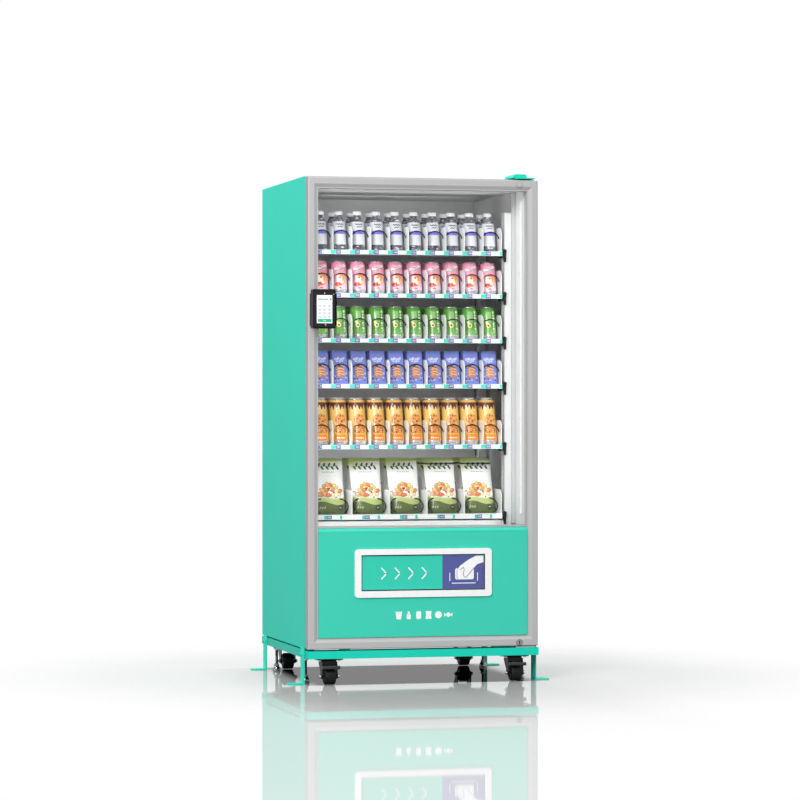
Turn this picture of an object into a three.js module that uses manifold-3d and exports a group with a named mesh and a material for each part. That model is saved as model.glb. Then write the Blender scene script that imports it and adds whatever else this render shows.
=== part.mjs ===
// Glass-front snack and drink vending machine on casters, in millimetres.
// Frame: +X to the right of a person facing it, -Y out of the front, +Z up.
// Origin: on the floor, under the centre of the whole machine's bounding box.
import * as THREE from "three";
import { mergeVertices } from "three/addons/utils/BufferGeometryUtils.js";
import Module from "manifold-3d";

const wasm = await Module();
wasm.setup();

// ---------------------------------------------------------------- driving dimensions
const GAP = 0.3; // left between pieces that touch
const PAST = 5; // how far a cutting shape reaches past the face that it opens
const DOOR_FACE_Y = -384; // front plane of the door
const behind = (distance) => DOOR_FACE_Y + distance; // Y of a plane this far behind the door face

const cabinet = {
  halfWidth: 453.7,
  front: 52.6, // behind the door face, as every depth below
  back: 856,
  bottom: 135.5,
  top: 1930,
  sheet: 2.5,
  chamfer: 1.5,
};
const room = { halfWidth: 410, back: 776, top: 1889, floor: 560, wellFloor: 300, wellBack: 200 };
const machineRoom = { halfWidth: 430, top: 520, front: 240, underWell: 262, frontWall: 7 };

const door = {
  halfWidth: 453.5,
  thickness: 44,
  bottom: 136,
  top: 1924,
  faceWidth: 25,
  bevelWidth: 12.5,
  bevelDepth: 9.5,
  beadWidth: 4.5,
  edgeRound: 8,
  rearChamfer: 5,
  endChamfer: 3,
  glassBack: 34,
};
const hinge = {
  x: 430,
  depth: 18,
  pinRadius: 6,
  holeRadius: 6.5,
  reach: 24,
  pinClearance: 2,
  plate: 4,
  plateInward: 65,
  plateOutward: 12,
  plateFront: 4,
  plateBack: 112,
};
const hingeCover = {
  front: 14,
  back: 150,
  bottomLeft: 358,
  bottomRight: 412,
  topLeft: 366,
  topRight: 407,
  top: 1948,
  sheet: 2,
  skirt: { left: 350, right: 420, innerLeft: 362, innerRight: 408, front: 60, back: 108 },
};
const panel = { top: 592.5, ledge: 15, front: 5.5, back: 40, groove: 1.5 };
const port = { left: -245, right: 242, bottom: 354, top: 491 };
const bezel = {
  border: 26,
  borderBelow: 25,
  borderAbove: 22,
  sleeve: 10.5,
  front: -1,
  back: 24,
  round: 14,
};
const flap = {
  front: 6,
  thickness: 6,
  pivotZ: 485,
  pinRadius: 2,
  pinHole: 2.6,
  pinReach: 3,
  holeReach: 5,
  sideGap: 0.7,
  bottomGap: 1.2,
  topGap: 2.2,
};
const terminal = {
  left: -452.5,
  right: -366,
  bottom: 1348.5,
  top: 1496,
  reach: 88,
  bezel: 7,
  chin: 10,
  pocket: 4,
  round: 4,
  headBack: 46,
  rear: { inset: 6, right: -353, foot: 12, head: 14, overlap: 4 },
};

const baseFrame = {
  halfWidth: 455,
  bottom: 99.5,
  top: 129,
  rail: 30,
  sideRail: 45,
  back: 855.5,
  crossAhead: 15,
  crossBehind: 28,
  padX: 300,
  padBack: 6,
  padRadius: 22,
};
const caster = {
  x: 366,
  frontDepth: 45,
  rearDepth: 800,
  trail: 25,
  plate: 4,
  plateHalfWidth: 50,
  plateHalfDepth: 42,
  wheelRadius: 32,
  wheelWidth: 44,
  wheelRound: 5,
  bore: 4.6,
  axleZ: 33,
};
const fork = {
  halfWidth: 30,
  sheet: 4,
  front: 32,
  back: 26,
  bridgeBottom: 84,
  bridgeTop: 88,
  swivelRadius: 27,
  swivelBottom: 86,
  axleRadius: 4,
  axleHalf: 34,
  nutRadius: 7,
  nut: 5,
};
const pedal = {
  halfWidth: 22,
  barHalf: 34,
  front: 64,
  back: 4,
  bottom: 71,
  top: 74.5,
  pivotDepth: 6,
  pivotZ: 72.5,
  pivotHalf: 25,
  pivotRadius: 3,
};
const foot = {
  x: 427,
  frontDepth: 160,
  rearDepth: 700,
  rodRadius: 6,
  holeClearance: 0.6,
  lift: 1,
  padRadius: 16,
  pad: 3,
  domeRadius: 15,
  neckRadius: 8,
  dome: 19,
  nutRadius: 9.5,
  nut: 28,
  rodTop: 104,
  bossRadius: 13,
  bossDrop: 9,
};
const bracket = {
  width: 60,
  thickness: 4,
  top: 139.8,
  toe: 515,
  toeRound: 16,
  holeInset: 26,
  holeRadius: 5.5,
  frontDepth: 76,
  rearDepth: 780,
};

const tray = {
  left: -396,
  right: 352,
  front: 150,
  back: 735,
  motorFace: 700,
  sheet: 2,
  floorSheet: 3,
  side: 93,
  firstSlotLeft: -394.5,
  pitch: 74.6,
  motorWall: 74,
  lipSheet: 3,
  motors: { inset: 4, bottom: 12, top: 60 },
  divider: { front: 4, round: 30, rearSlope: 60 },
  hubHole: { radius: 6.5, depth: 22 },
};
// Trays 1 to 5 have a spiral in each channel, and the bottom tray has a pair in each.
// A spiral's lift is its axis height over the tray, and its wire starts at the start angle.
const slotTray = { channels: 10, lip: 18, coilLift: 49, coilStart: 0 };
const bagTray = { channels: 5, lip: 20, coilLift: 32, coilStart: -1.2 };
// Height of each tray's floor, from the top tray down.
const trayFloors = [1657.5, 1491.5, 1318, 1142.5, 908.5, 640];
const coil = {
  radius: 27,
  wire: 4.8,
  turnPitch: 104,
  front: 160,
  back: 690,
  slot: 5,
  hub: { radius: 5.5, front: 5, back: 24 },
};
const post = {
  left: 363,
  width: 27,
  depth: 45,
  front: 155,
  rear: 527,
  bottom: 590,
  top: 1808,
  lug: 8,
  lugInset: 8,
  lugClearance: 0.6,
};

// ---------------------------------------------------------------- solids
function solidOf(geometry) {
  const bare = geometry.index ? geometry.toNonIndexed() : geometry.clone();
  bare.deleteAttribute("normal");
  bare.deleteAttribute("uv");
  const merged = mergeVertices(bare, 1e-4);
  return new wasm.Manifold(
    new wasm.Mesh({
      numProp: 3,
      vertProperties: new Float32Array(merged.attributes.position.array),
      triVerts: new Uint32Array(merged.index.array),
    }),
  );
}

function geometryOf(solid) {
  const mesh = solid.getMesh();
  const geometry = new THREE.BufferGeometry();
  geometry.setAttribute("position", new THREE.BufferAttribute(mesh.vertProperties, 3));
  geometry.setIndex(new THREE.BufferAttribute(mesh.triVerts, 1));
  geometry.computeVertexNormals();
  return geometry;
}

// A box between two corners.
function block([x0, y0, z0], [x1, y1, z1]) {
  const box = new THREE.BoxGeometry(x1 - x0, y1 - y0, z1 - z0);
  box.translate((x0 + x1) / 2, (y0 + y1) / 2, (z0 + z1) / 2);
  return solidOf(box);
}

// A round bar of one radius, or tapering to another, between two points.
function bar(from, to, radius, sides = 12, endRadius = radius) {
  const start = new THREE.Vector3(...from);
  const run = new THREE.Vector3(...to).sub(start);
  const cylinder = new THREE.CylinderGeometry(endRadius, radius, run.length(), sides);
  cylinder.translate(0, run.length() / 2, 0);
  const turn = new THREE.Quaternion().setFromUnitVectors(
    new THREE.Vector3(0, 1, 0),
    run.clone().normalize(),
  );
  cylinder.applyQuaternion(turn);
  cylinder.translate(...from);
  return solidOf(cylinder);
}

// An outline swept straight along one axis: "x" takes (y, z) points, "y" takes (x, z), "z" takes (x, y).
function prism(axis, outline, from, to, curveSegments = 3) {
  const isShape = outline instanceof THREE.Shape;
  const points = isShape ? [] : outline.map(([a, b]) => new THREE.Vector2(a, b));
  const shape = isShape ? outline : new THREE.Shape(points);
  const geometry = new THREE.ExtrudeGeometry(shape, {
    depth: to - from,
    bevelEnabled: false,
    curveSegments,
  });
  geometry.translate(0, 0, from);
  const turns = {
    x: new THREE.Matrix4().set(0, 0, 1, 0, 1, 0, 0, 0, 0, 1, 0, 0, 0, 0, 0, 1),
    y: new THREE.Matrix4().set(1, 0, 0, 0, 0, 0, 1, 0, 0, 1, 0, 0, 0, 0, 0, 1),
    z: new THREE.Matrix4(),
  };
  geometry.applyMatrix4(turns[axis]);
  const bare = geometry.index ? geometry.toNonIndexed() : geometry;
  if (turns[axis].determinant() < 0) {
    const p = bare.attributes.position;
    for (let i = 0; i < p.count; i += 3) {
      const b = [p.getX(i + 1), p.getY(i + 1), p.getZ(i + 1)];
      p.setXYZ(i + 1, p.getX(i + 2), p.getY(i + 2), p.getZ(i + 2));
      p.setXYZ(i + 2, ...b);
    }
  }
  return solidOf(bare);
}

function roundedRectangle(x0, y0, x1, y1, r) {
  const s = new THREE.Shape();
  s.moveTo(x0 + r, y0);
  s.lineTo(x1 - r, y0);
  s.absarc(x1 - r, y0 + r, r, -Math.PI / 2, 0);
  s.lineTo(x1, y1 - r);
  s.absarc(x1 - r, y1 - r, r, 0, Math.PI / 2);
  s.lineTo(x0 + r, y1);
  s.absarc(x0 + r, y1 - r, r, Math.PI / 2, Math.PI);
  s.lineTo(x0, y0 + r);
  s.absarc(x0 + r, y0 + r, r, Math.PI, Math.PI * 1.5);
  return s;
}

const join = (first, ...rest) => rest.reduce((whole, piece) => whole.add(piece), first);
const cut = (whole, ...tools) => tools.reduce((left, tool) => left.subtract(tool), whole);

// ---------------------------------------------------------------- finishes
const finish = (color, roughness, metalness = 0) =>
  new THREE.MeshStandardMaterial({ color, roughness, metalness });
const paint = {
  teal: finish(0x48d6be, 0.45),
  white: finish(0xf2f3f3, 0.4),
  greyFrame: finish(0xcfcfcf, 0.4, 0.3),
  black: finish(0x1c1c1c, 0.5),
  darkGrey: finish(0x444648, 0.5),
  rubber: finish(0x141414, 0.9),
  steel: finish(0xb8bcc0, 0.35, 0.9),
  chrome: finish(0xe0e0e0, 0.1, 1),
  glass: new THREE.MeshStandardMaterial({
    color: 0xe8f4f2,
    roughness: 0.05,
    transparent: true,
    opacity: 0.3,
  }),
};

const machine = new THREE.Group();
machine.name = "vending_machine";

function addPiece(name, solid, material) {
  const mesh = new THREE.Mesh(geometryOf(solid), material);
  mesh.name = name;
  machine.add(mesh);
}

// ---------------------------------------------------------------- base and undercarriage
const sides = [
  ["left", -1],
  ["right", 1],
];
const ends = [
  ["front", caster.frontDepth, foot.frontDepth, bracket.frontDepth],
  ["rear", caster.rearDepth, foot.rearDepth, bracket.rearDepth],
];

function makeCasterPlate(x, y) {
  const { bottom } = baseFrame;
  const { plate, plateHalfWidth: w, plateHalfDepth: d } = caster;
  return block([x - w, y - d, bottom - plate], [x + w, y + d, bottom + 1]);
}

function makeBaseFrame() {
  const { halfWidth: w, bottom, top, rail, sideRail } = baseFrame;
  const y0 = behind(0);
  const y1 = behind(baseFrame.back);
  const ring = join(
    block([-w, y0, bottom], [w, y0 + rail, top]),
    block([-w, y1 - rail, bottom], [w, y1, top]),
    block([-w, y0, bottom], [-w + sideRail, y1, top]),
    block([w - sideRail, y0, bottom], [w, y1, top]),
  );
  const crossRails = ends.map(([, casterDepth]) => {
    const y = behind(casterDepth);
    return block([-w, y - baseFrame.crossAhead, bottom], [w, y + baseFrame.crossBehind, top]);
  });
  const additions = [];
  const footHoles = [];
  for (const [, side] of sides)
    for (const [, casterDepth, footDepth] of ends) {
      const y = behind(casterDepth);
      const pad = (z) => [side * baseFrame.padX, y + baseFrame.padBack, z];
      const footAt = (z) => [side * foot.x, behind(footDepth), z];
      additions.push(makeCasterPlate(side * caster.x, y));
      additions.push(bar(pad(top - 1), pad(cabinet.bottom - GAP), baseFrame.padRadius, 8));
      additions.push(bar(footAt(bottom - foot.bossDrop), footAt(bottom + 1), foot.bossRadius, 6));
      footHoles.push(
        bar(footAt(bottom - 20), footAt(top + PAST), foot.rodRadius + foot.holeClearance),
      );
    }
  return cut(join(ring, ...crossRails, ...additions), ...footHoles);
}
addPiece("base_frame", makeBaseFrame(), paint.teal);

function makeBracket(side, depth) {
  const { width, thickness, top, toe, toeRound: r } = bracket;
  const y0 = behind(depth) - width / 2;
  const y1 = behind(depth) + width / 2;
  const inner = baseFrame.halfWidth + GAP;
  const upright = block([inner, y0, 0], [inner + thickness, y1, top]);
  const toeOutline = new THREE.Shape();
  toeOutline.moveTo(inner, y0);
  toeOutline.lineTo(toe - r, y0);
  toeOutline.absarc(toe - r, y0 + r, r, -Math.PI / 2, 0);
  toeOutline.lineTo(toe, y1 - r);
  toeOutline.absarc(toe - r, y1 - r, r, 0, Math.PI / 2);
  toeOutline.lineTo(inner, y1);
  const toePlate = prism("z", toeOutline, 0, thickness);
  const holeAt = (z) => [toe - bracket.holeInset, behind(depth), z];
  const boltHole = bar(holeAt(-1), holeAt(10), bracket.holeRadius, 12);
  const solid = cut(join(upright, toePlate), boltHole);
  return side > 0 ? solid : solid.mirror([1, 0, 0]);
}

function makeFoot(side, depth) {
  const x = side * foot.x;
  const y = behind(depth);
  const { lift, rodRadius } = foot;
  const at = (z) => [x, y, z];
  return join(
    bar(at(lift), at(lift + foot.pad), foot.padRadius),
    bar(at(lift + foot.pad - 1), at(lift + foot.dome), foot.domeRadius, 12, foot.neckRadius),
    bar(at(lift + foot.dome - 1), at(lift + foot.nut), foot.nutRadius, 6),
    bar(at(lift + foot.dome + 1), at(foot.rodTop), rodRadius, 8),
  );
}

function makeFork(side, depth) {
  const x = side * caster.x;
  const y = behind(depth);
  const { halfWidth: w, sheet, front, back, bridgeBottom, bridgeTop } = fork;
  const top = baseFrame.bottom - caster.plate - GAP;
  // Side view of one leg, leaning back from the swivel down to the axle.
  const leg = [
    [y + back, bridgeTop],
    [y - front, bridgeTop],
    [y - 39, 40],
    [y - 36, 27],
    [y - 25, 22],
    [y - 14, 27],
    [y - 6, 44],
    [y + back, 78],
  ];
  const axleAt = (dx) => [x + dx, y - caster.trail, caster.axleZ];
  const { axleHalf, axleRadius, nutRadius, nut } = fork;
  return join(
    bar([x, y, fork.swivelBottom], [x, y, top], fork.swivelRadius),
    block([x - w, y - front, bridgeBottom], [x + w, y + back, bridgeTop]),
    prism("x", leg, x - w, x - w + sheet),
    prism("x", leg, x + w - sheet, x + w),
    bar(axleAt(-axleHalf), axleAt(axleHalf), axleRadius, 8),
    bar(axleAt(-axleHalf), axleAt(nut - axleHalf), nutRadius, 6),
    bar(axleAt(axleHalf - nut), axleAt(axleHalf), nutRadius, 6),
  );
}

function makeWheel(side, depth) {
  const half = caster.wheelWidth / 2;
  const { wheelRadius: R, wheelRound: round, bore } = caster;
  const profile = [
    [bore, -half],
    [R - round, -half],
    [R, -half + round],
    [R, half - round],
    [R - round, half],
    [bore, half],
    [bore, -half],
  ].map(([r, h]) => new THREE.Vector2(r, h));
  const lathe = new THREE.LatheGeometry(profile, 20);
  lathe.rotateZ(Math.PI / 2);
  lathe.translate(side * caster.x, behind(depth) - caster.trail, caster.axleZ);
  return solidOf(lathe);
}

function makePedal(side) {
  const x = side * caster.x;
  const y = behind(caster.frontDepth);
  const { halfWidth: w, barHalf, front, back, bottom, top } = pedal;
  // Side view of the curled bar that a foot presses.
  const curl = [
    [y - front - 2, 64],
    [y - front + 4, 61],
    [y - front + 10, 62],
    [y - front + 10, top],
    [y - front, top],
    [y - front - 3, bottom],
  ];
  const pivotAt = (dx) => [x + dx, y - pedal.pivotDepth, pedal.pivotZ];
  return join(
    block([x - w, y - front, bottom], [x + w, y - back, top]),
    prism("x", curl, x - barHalf, x + barHalf),
    bar(pivotAt(-pedal.pivotHalf), pivotAt(pedal.pivotHalf), pedal.pivotRadius, 8),
  );
}

for (const [sideName, side] of sides)
  for (const [endName, casterDepth, footDepth, bracketDepth] of ends) {
    const tail = `${endName}_${sideName}`;
    addPiece(`anti_tip_bracket_${tail}`, makeBracket(side, bracketDepth), paint.teal);
    addPiece(`levelling_foot_${tail}`, makeFoot(side, footDepth), paint.chrome);
    addPiece(`caster_fork_${tail}`, makeFork(side, casterDepth), paint.black);
    addPiece(`caster_wheel_${tail}`, makeWheel(side, casterDepth), paint.rubber);
    if (endName === "front") addPiece(`brake_pedal_${sideName}`, makePedal(side), paint.black);
  }

// ---------------------------------------------------------------- cabinet
const skin = cabinet.halfWidth - cabinet.sheet;
const cabinetFrontY = behind(cabinet.front);
const cabinetBackY = behind(cabinet.back);
const linerBackY = cabinetBackY - cabinet.sheet - GAP;
const floorTop = cabinet.bottom + cabinet.sheet;
const linerTop = cabinet.top - cabinet.sheet - GAP;
const grilleTop = machineRoom.top + 1;

function makeSidePanel(side) {
  const x0 = skin;
  const x1 = cabinet.halfWidth;
  const c = cabinet.chamfer;
  const outline = [
    [x0, cabinetFrontY],
    [x1 - c, cabinetFrontY],
    [x1, cabinetFrontY + c],
    [x1, cabinetBackY - c],
    [x1 - c, cabinetBackY],
    [x0, cabinetBackY],
  ];
  const solid = prism("z", outline, cabinet.bottom, cabinet.top);
  return side > 0 ? solid : solid.mirror([1, 0, 0]);
}
for (const [sideName, side] of sides)
  addPiece(`side_panel_${sideName}`, makeSidePanel(side), paint.teal);

const panelEdge = skin - GAP;
addPiece(
  "top_panel",
  block(
    [-panelEdge, cabinetFrontY, cabinet.top - cabinet.sheet],
    [panelEdge, cabinetBackY, cabinet.top],
  ),
  paint.teal,
);
addPiece(
  "floor_panel",
  block([-panelEdge, cabinetFrontY, cabinet.bottom], [panelEdge, linerBackY, floorTop]),
  paint.teal,
);
addPiece(
  "back_panel",
  block(
    [-panelEdge, cabinetBackY - cabinet.sheet, grilleTop + GAP],
    [panelEdge, cabinetBackY, linerTop],
  ),
  paint.teal,
);

const grille = { rows: 9, columns: [-270, -30], first: 190, pitch: 32, length: 220, height: 12 };
const inlet = {
  left: 325,
  right: 377,
  bottom: 168,
  top: 204,
  inset: 0.1,
  depth: 22,
  recess: 14,
  rimX: 10,
  rimZ: 8,
};
function makeRearGrille() {
  const y0 = cabinetBackY - cabinet.sheet;
  const plate = block([-panelEdge, y0, cabinet.bottom], [panelEdge, cabinetBackY, grilleTop]);
  const slots = [];
  for (let row = 0; row < grille.rows; row++)
    for (const x of grille.columns) {
      const z = grille.first + row * grille.pitch;
      slots.push(
        block([x, y0 - PAST, z], [x + grille.length, cabinetBackY + PAST, z + grille.height]),
      );
    }
  const socketHole = block(
    [inlet.left - 1, y0 - PAST, inlet.bottom - 1],
    [inlet.right + 1, cabinetBackY + PAST, inlet.top + 1],
  );
  return cut(plate, ...slots, socketHole);
}
addPiece("rear_grille", makeRearGrille(), paint.teal);

function makePowerInlet() {
  const face = cabinetBackY - inlet.inset;
  const { left, right, bottom, top, depth, recess: deep, rimX, rimZ } = inlet;
  const body = block([left, face - depth, bottom], [right, face, top]);
  const recess = block([left + rimX, face - deep, bottom + rimZ], [right - rimX, face + 2, top - rimZ]);
  return cut(body, recess);
}
addPiece("power_inlet", makePowerInlet(), paint.black);

// Foam-filled body: the cold room, the delivery well in front of it and the machine room under both.
function makeLiner() {
  const outer = block(
    [-panelEdge, cabinetFrontY, floorTop + GAP],
    [panelEdge, linerBackY, linerTop],
  );
  const coldRoom = block(
    [-room.halfWidth, cabinetFrontY - PAST, room.floor],
    [room.halfWidth, behind(room.back), room.top],
  );
  const well = block(
    [-room.halfWidth, cabinetFrontY - PAST, room.wellFloor],
    [room.halfWidth, behind(room.wellBack), room.floor + 1],
  );
  const plant = block(
    [-machineRoom.halfWidth, behind(machineRoom.front), floorTop - PAST],
    [machineRoom.halfWidth, linerBackY + PAST, machineRoom.top],
  );
  const underWell = block(
    [-machineRoom.halfWidth, cabinetFrontY + machineRoom.frontWall, floorTop - PAST],
    [machineRoom.halfWidth, behind(machineRoom.front) + 1, machineRoom.underWell],
  );
  return cut(outer, coldRoom, well, plant, underWell);
}
addPiece("insulated_liner", makeLiner(), paint.white);

// A bracket plate with the pin that the door turns on.
function makeHingeBracket(z0, pinZ) {
  const plate = block(
    [hinge.x - hinge.plateInward, behind(hinge.plateFront), z0],
    [hinge.x + hinge.plateOutward, behind(hinge.plateBack), z0 + hinge.plate],
  );
  const at = (z) => [hinge.x, behind(hinge.depth), z];
  const pin = bar(at(Math.min(pinZ, z0 + 1)), at(Math.max(pinZ, z0 + 1)), hinge.pinRadius);
  return join(plate, pin);
}
const upperPlateZ = cabinet.top + GAP;
addPiece(
  "upper_hinge_bracket",
  makeHingeBracket(upperPlateZ, door.top - hinge.reach + hinge.pinClearance),
  paint.steel,
);
addPiece(
  "lower_hinge_bracket",
  makeHingeBracket(baseFrame.top + GAP, door.bottom + hinge.reach - hinge.pinClearance),
  paint.steel,
);

function makeHingeCover() {
  const { sheet, skirt, bottomLeft, bottomRight, topLeft, topRight } = hingeCover;
  const z0 = upperPlateZ + hinge.plate + GAP;
  const y0 = behind(hingeCover.front);
  const y1 = behind(hingeCover.back);
  const outline = (inset, bottom, top) => [
    [bottomLeft + inset, bottom],
    [bottomRight - inset, bottom],
    [topRight - inset, top],
    [topLeft + inset, top],
  ];
  const shell = prism("y", outline(0, z0, hingeCover.top), y0, y1);
  const hollow = prism("y", outline(sheet, z0 - 1, hingeCover.top - sheet), y0 + sheet, y1 - sheet);
  const flange = block(
    [skirt.left, behind(skirt.front), z0],
    [skirt.right, behind(skirt.back), z0 + sheet],
  );
  const inside = block([skirt.innerLeft, y0, z0 - 1], [skirt.innerRight, y1, z0 + sheet + 1]);
  return join(cut(shell, hollow), cut(flange, inside));
}
addPiece("hinge_cover", makeHingeCover(), paint.teal);

// ---------------------------------------------------------------- inside the cold room
function makePost(x0, x1, front, lugX0, lugX1) {
  const y0 = behind(front);
  const y1 = y0 + post.depth;
  const column = block([x0, y0, post.bottom], [x1, y1, post.top]);
  const lugs = trayFloors.map((floor) => {
    const top = floor - tray.floorSheet - post.lugClearance;
    return block([lugX0, y0 + post.lugInset, top - post.lug], [lugX1, y1 - post.lugInset, top]);
  });
  return join(column, ...lugs);
}
const wallStrip = { outer: -(room.halfWidth - GAP), inner: -406.2, lug: -386 };
for (const [endName, depth] of [
  ["front", post.front],
  ["rear", post.rear],
]) {
  addPiece(
    `tray_post_${endName}_right`,
    makePost(post.left, post.left + post.width, depth, tray.right - 9, post.left + 2),
    paint.white,
  );
  addPiece(
    `tray_post_${endName}_left`,
    makePost(wallStrip.outer, wallStrip.inner, depth, wallStrip.inner - 1, wallStrip.lug),
    paint.white,
  );
}

const evaporator = {
  halfWidth: 300,
  front: 742,
  bottom: 600,
  top: 1700,
  fanZ: 800,
  pocketRadius: 82,
  motorRadius: 20,
  motorLength: 13,
  backSheet: 6,
  outlets: { count: 4, halfWidth: 240, above: 105, height: 14, depth: 12 },
};
function makeEvaporator() {
  const y0 = behind(evaporator.front);
  const y1 = behind(room.back) - GAP;
  const { halfWidth: w, bottom, top, fanZ, backSheet, motorLength, outlets } = evaporator;
  const pocketBack = y1 - backSheet;
  const duct = block([-w, y0, bottom], [w, y1, top]);
  const pocket = bar([0, y0 - PAST, fanZ], [0, pocketBack, fanZ], evaporator.pocketRadius, 24);
  const motorBack = pocketBack + 1;
  const motor = bar([0, motorBack - motorLength, fanZ], [0, motorBack, fanZ], evaporator.motorRadius);
  const slots = trayFloors.slice(0, outlets.count).map((floor) => {
    const z = floor + outlets.above;
    return block(
      [-outlets.halfWidth, y0 - PAST, z],
      [outlets.halfWidth, y0 + outlets.depth, z + outlets.height],
    );
  });
  return join(cut(duct, pocket, ...slots), motor);
}
addPiece("evaporator_unit", makeEvaporator(), paint.darkGrey);

// A bladed rotor that turns about a line along Y.
const fanBlades = { count: 5, thickness: 2.5, pitch: 0.45, rootOverlap: 4 };
function makeFan(x, z, y, { hubRadius, tipRadius, hubLength }) {
  const { count, thickness, pitch, rootOverlap } = fanBlades;
  const root = hubRadius - rootOverlap;
  const hub = bar([x, y, z], [x, y + hubLength, z], hubRadius);
  const blades = [];
  for (let i = 0; i < count; i++) {
    const blade = new THREE.BoxGeometry(tipRadius - root, thickness, hubRadius * 1.5);
    blade.rotateX(pitch);
    blade.translate((tipRadius + root) / 2, 0, 0);
    blade.rotateY((i * 2 * Math.PI) / count);
    blade.translate(x, y + hubLength / 2, z);
    blades.push(solidOf(blade));
  }
  return join(hub, ...blades);
}
const evaporatorFan = { hubRadius: 18, tipRadius: 74, hubLength: 13 };
addPiece(
  "evaporator_fan",
  makeFan(0, evaporator.fanZ, behind(evaporator.front) + 1, evaporatorFan),
  paint.black,
);

const plant = {
  left: -320,
  right: 210,
  front: 300,
  back: 842,
  sled: 5,
  fan: { x: 20, z: 300, depth: 752, hubRadius: 30, tipRadius: 112, hubLength: 26 },
  motor: { front: 700, back: 750, radius: 28 },
  stand: { halfWidth: 12, back: 5, depth: 30, top: 285 },
  compressor: { x: -215, depth: 440, radius: 82, shoulder: 300, top: 335, crownRadius: 45 },
  condenser: { left: -110, right: 150, front: 790, back: 838, top: 430 },
  receiver: { x: 60, depth: 420, radius: 32, shoulder: 240, top: 255, crownRadius: 12 },
  pipe: { from: [-160, 440, 290], to: [60, 422, 200], radius: 5 },
};

// An upright vessel with a tapered crown.
function makeVessel({ x, depth, radius, shoulder, top, crownRadius }, base, sides) {
  const at = (z) => [x, behind(depth), z];
  return join(
    bar(at(base), at(shoulder), radius, sides),
    bar(at(shoulder - 1), at(top), radius, sides, crownRadius),
  );
}

function makeCondensingUnit() {
  const { sled, fan, motor, stand, condenser, pipe } = plant;
  const z0 = floorTop + GAP;
  const base = z0 + sled - 1;
  const sledPlate = block(
    [plant.left, behind(plant.front), z0],
    [plant.right, behind(plant.back), z0 + sled],
  );
  const coilBlock = block(
    [condenser.left, behind(condenser.front), base],
    [condenser.right, behind(condenser.back), condenser.top],
  );
  const motorAt = (depth) => [fan.x, behind(depth), fan.z];
  const fanMotor = bar(motorAt(motor.front), motorAt(motor.back), motor.radius);
  const standY = behind(motor.front) + stand.back;
  const standPost = block(
    [fan.x - stand.halfWidth, standY, base],
    [fan.x + stand.halfWidth, standY + stand.depth, stand.top],
  );
  const place = ([x, depth, z]) => [x, behind(depth), z];
  return join(
    sledPlate,
    makeVessel(plant.compressor, base, 16),
    coilBlock,
    fanMotor,
    standPost,
    makeVessel(plant.receiver, base, 12),
    bar(place(pipe.from), place(pipe.to), pipe.radius, 8),
  );
}
addPiece("condensing_unit", makeCondensingUnit(), paint.black);
addPiece(
  "condenser_fan",
  makeFan(plant.fan.x, plant.fan.z, behind(plant.fan.depth), plant.fan),
  paint.black,
);

const controlBox = {
  left: 250,
  right: 420,
  front: 560,
  back: 810,
  top: 400,
  lid: { left: 262, right: 408, front: 552, bottom: 170, top: 390 },
};
function makeControlBox() {
  const { left, right, front, back, top, lid } = controlBox;
  return join(
    block([left, behind(front), floorTop + GAP], [right, behind(back), top]),
    block([lid.left, behind(lid.front), lid.bottom], [lid.right, behind(front + 1), lid.top]),
  );
}
addPiece("control_box", makeControlBox(), paint.steel);

// Trough that catches a dropped product, with sloping ends and a window towards the flap.
const bin = {
  front: 54,
  back: 192,
  sheet: 3,
  halfWidth: 404,
  floorLeft: -250,
  floorRight: 247,
  floor: 345,
  slopeTop: 505,
  top: 556,
  window: { left: -255, right: 252, bottom: 349, top: 500 },
  upperWindow: { halfWidth: 395, bottom: 520, top: 560 },
};
function makeDeliveryBin() {
  const { sheet, halfWidth: w, window, upperWindow } = bin;
  const y0 = behind(bin.front);
  const y1 = behind(bin.back);
  const outline = (grow, top) => [
    [-w + grow, bin.slopeTop],
    [bin.floorLeft + grow, bin.floor + grow],
    [bin.floorRight - grow, bin.floor + grow],
    [w - grow, bin.slopeTop],
    [w - grow, top],
    [-w + grow, top],
  ];
  const frontCut = (x0, x1, z0, z1) => block([x0, y0 - PAST, z0], [x1, y0 + sheet + 1, z1]);
  return cut(
    prism("y", outline(0, bin.top), y0, y1),
    prism("y", outline(sheet, bin.top + 14), y0 + sheet, y1 - sheet),
    frontCut(window.left, window.right, window.bottom, window.top),
    frontCut(-upperWindow.halfWidth, upperWindow.halfWidth, upperWindow.bottom, upperWindow.top),
  );
}
addPiece("delivery_bin", makeDeliveryBin(), paint.darkGrey);

// ---------------------------------------------------------------- door
const openingHalf = door.halfWidth - door.faceWidth - door.bevelWidth - door.beadWidth;
const openingBottom = door.bottom + door.faceWidth + door.bevelWidth + door.beadWidth;
const openingTop = door.top - door.faceWidth - door.bevelWidth - door.beadWidth;
const rebate = { grow: 8, front: 12, belowPanelTop: 10 };

// A four-sided funnel between a wide front rectangle and a narrower one behind it.
function funnel(wide, narrow) {
  const shape = (r) => [
    [r.x0, r.y, r.z0],
    [r.x1, r.y, r.z0],
    [r.x1, r.y, r.z1],
    [r.x0, r.y, r.z1],
  ];
  const points = [...shape(wide), ...shape(narrow)];
  const faces = [
    [0, 1, 2],
    [0, 2, 3],
    [4, 6, 5],
    [4, 7, 6],
    [0, 4, 5],
    [0, 5, 1],
    [1, 5, 6],
    [1, 6, 2],
    [2, 6, 7],
    [2, 7, 3],
    [3, 7, 4],
    [3, 4, 0],
  ];
  const geometry = new THREE.BufferGeometry();
  const vertices = new Float32Array(faces.flat().flatMap((i) => points[i]));
  geometry.setAttribute("position", new THREE.BufferAttribute(vertices, 3));
  return solidOf(geometry);
}

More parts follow.
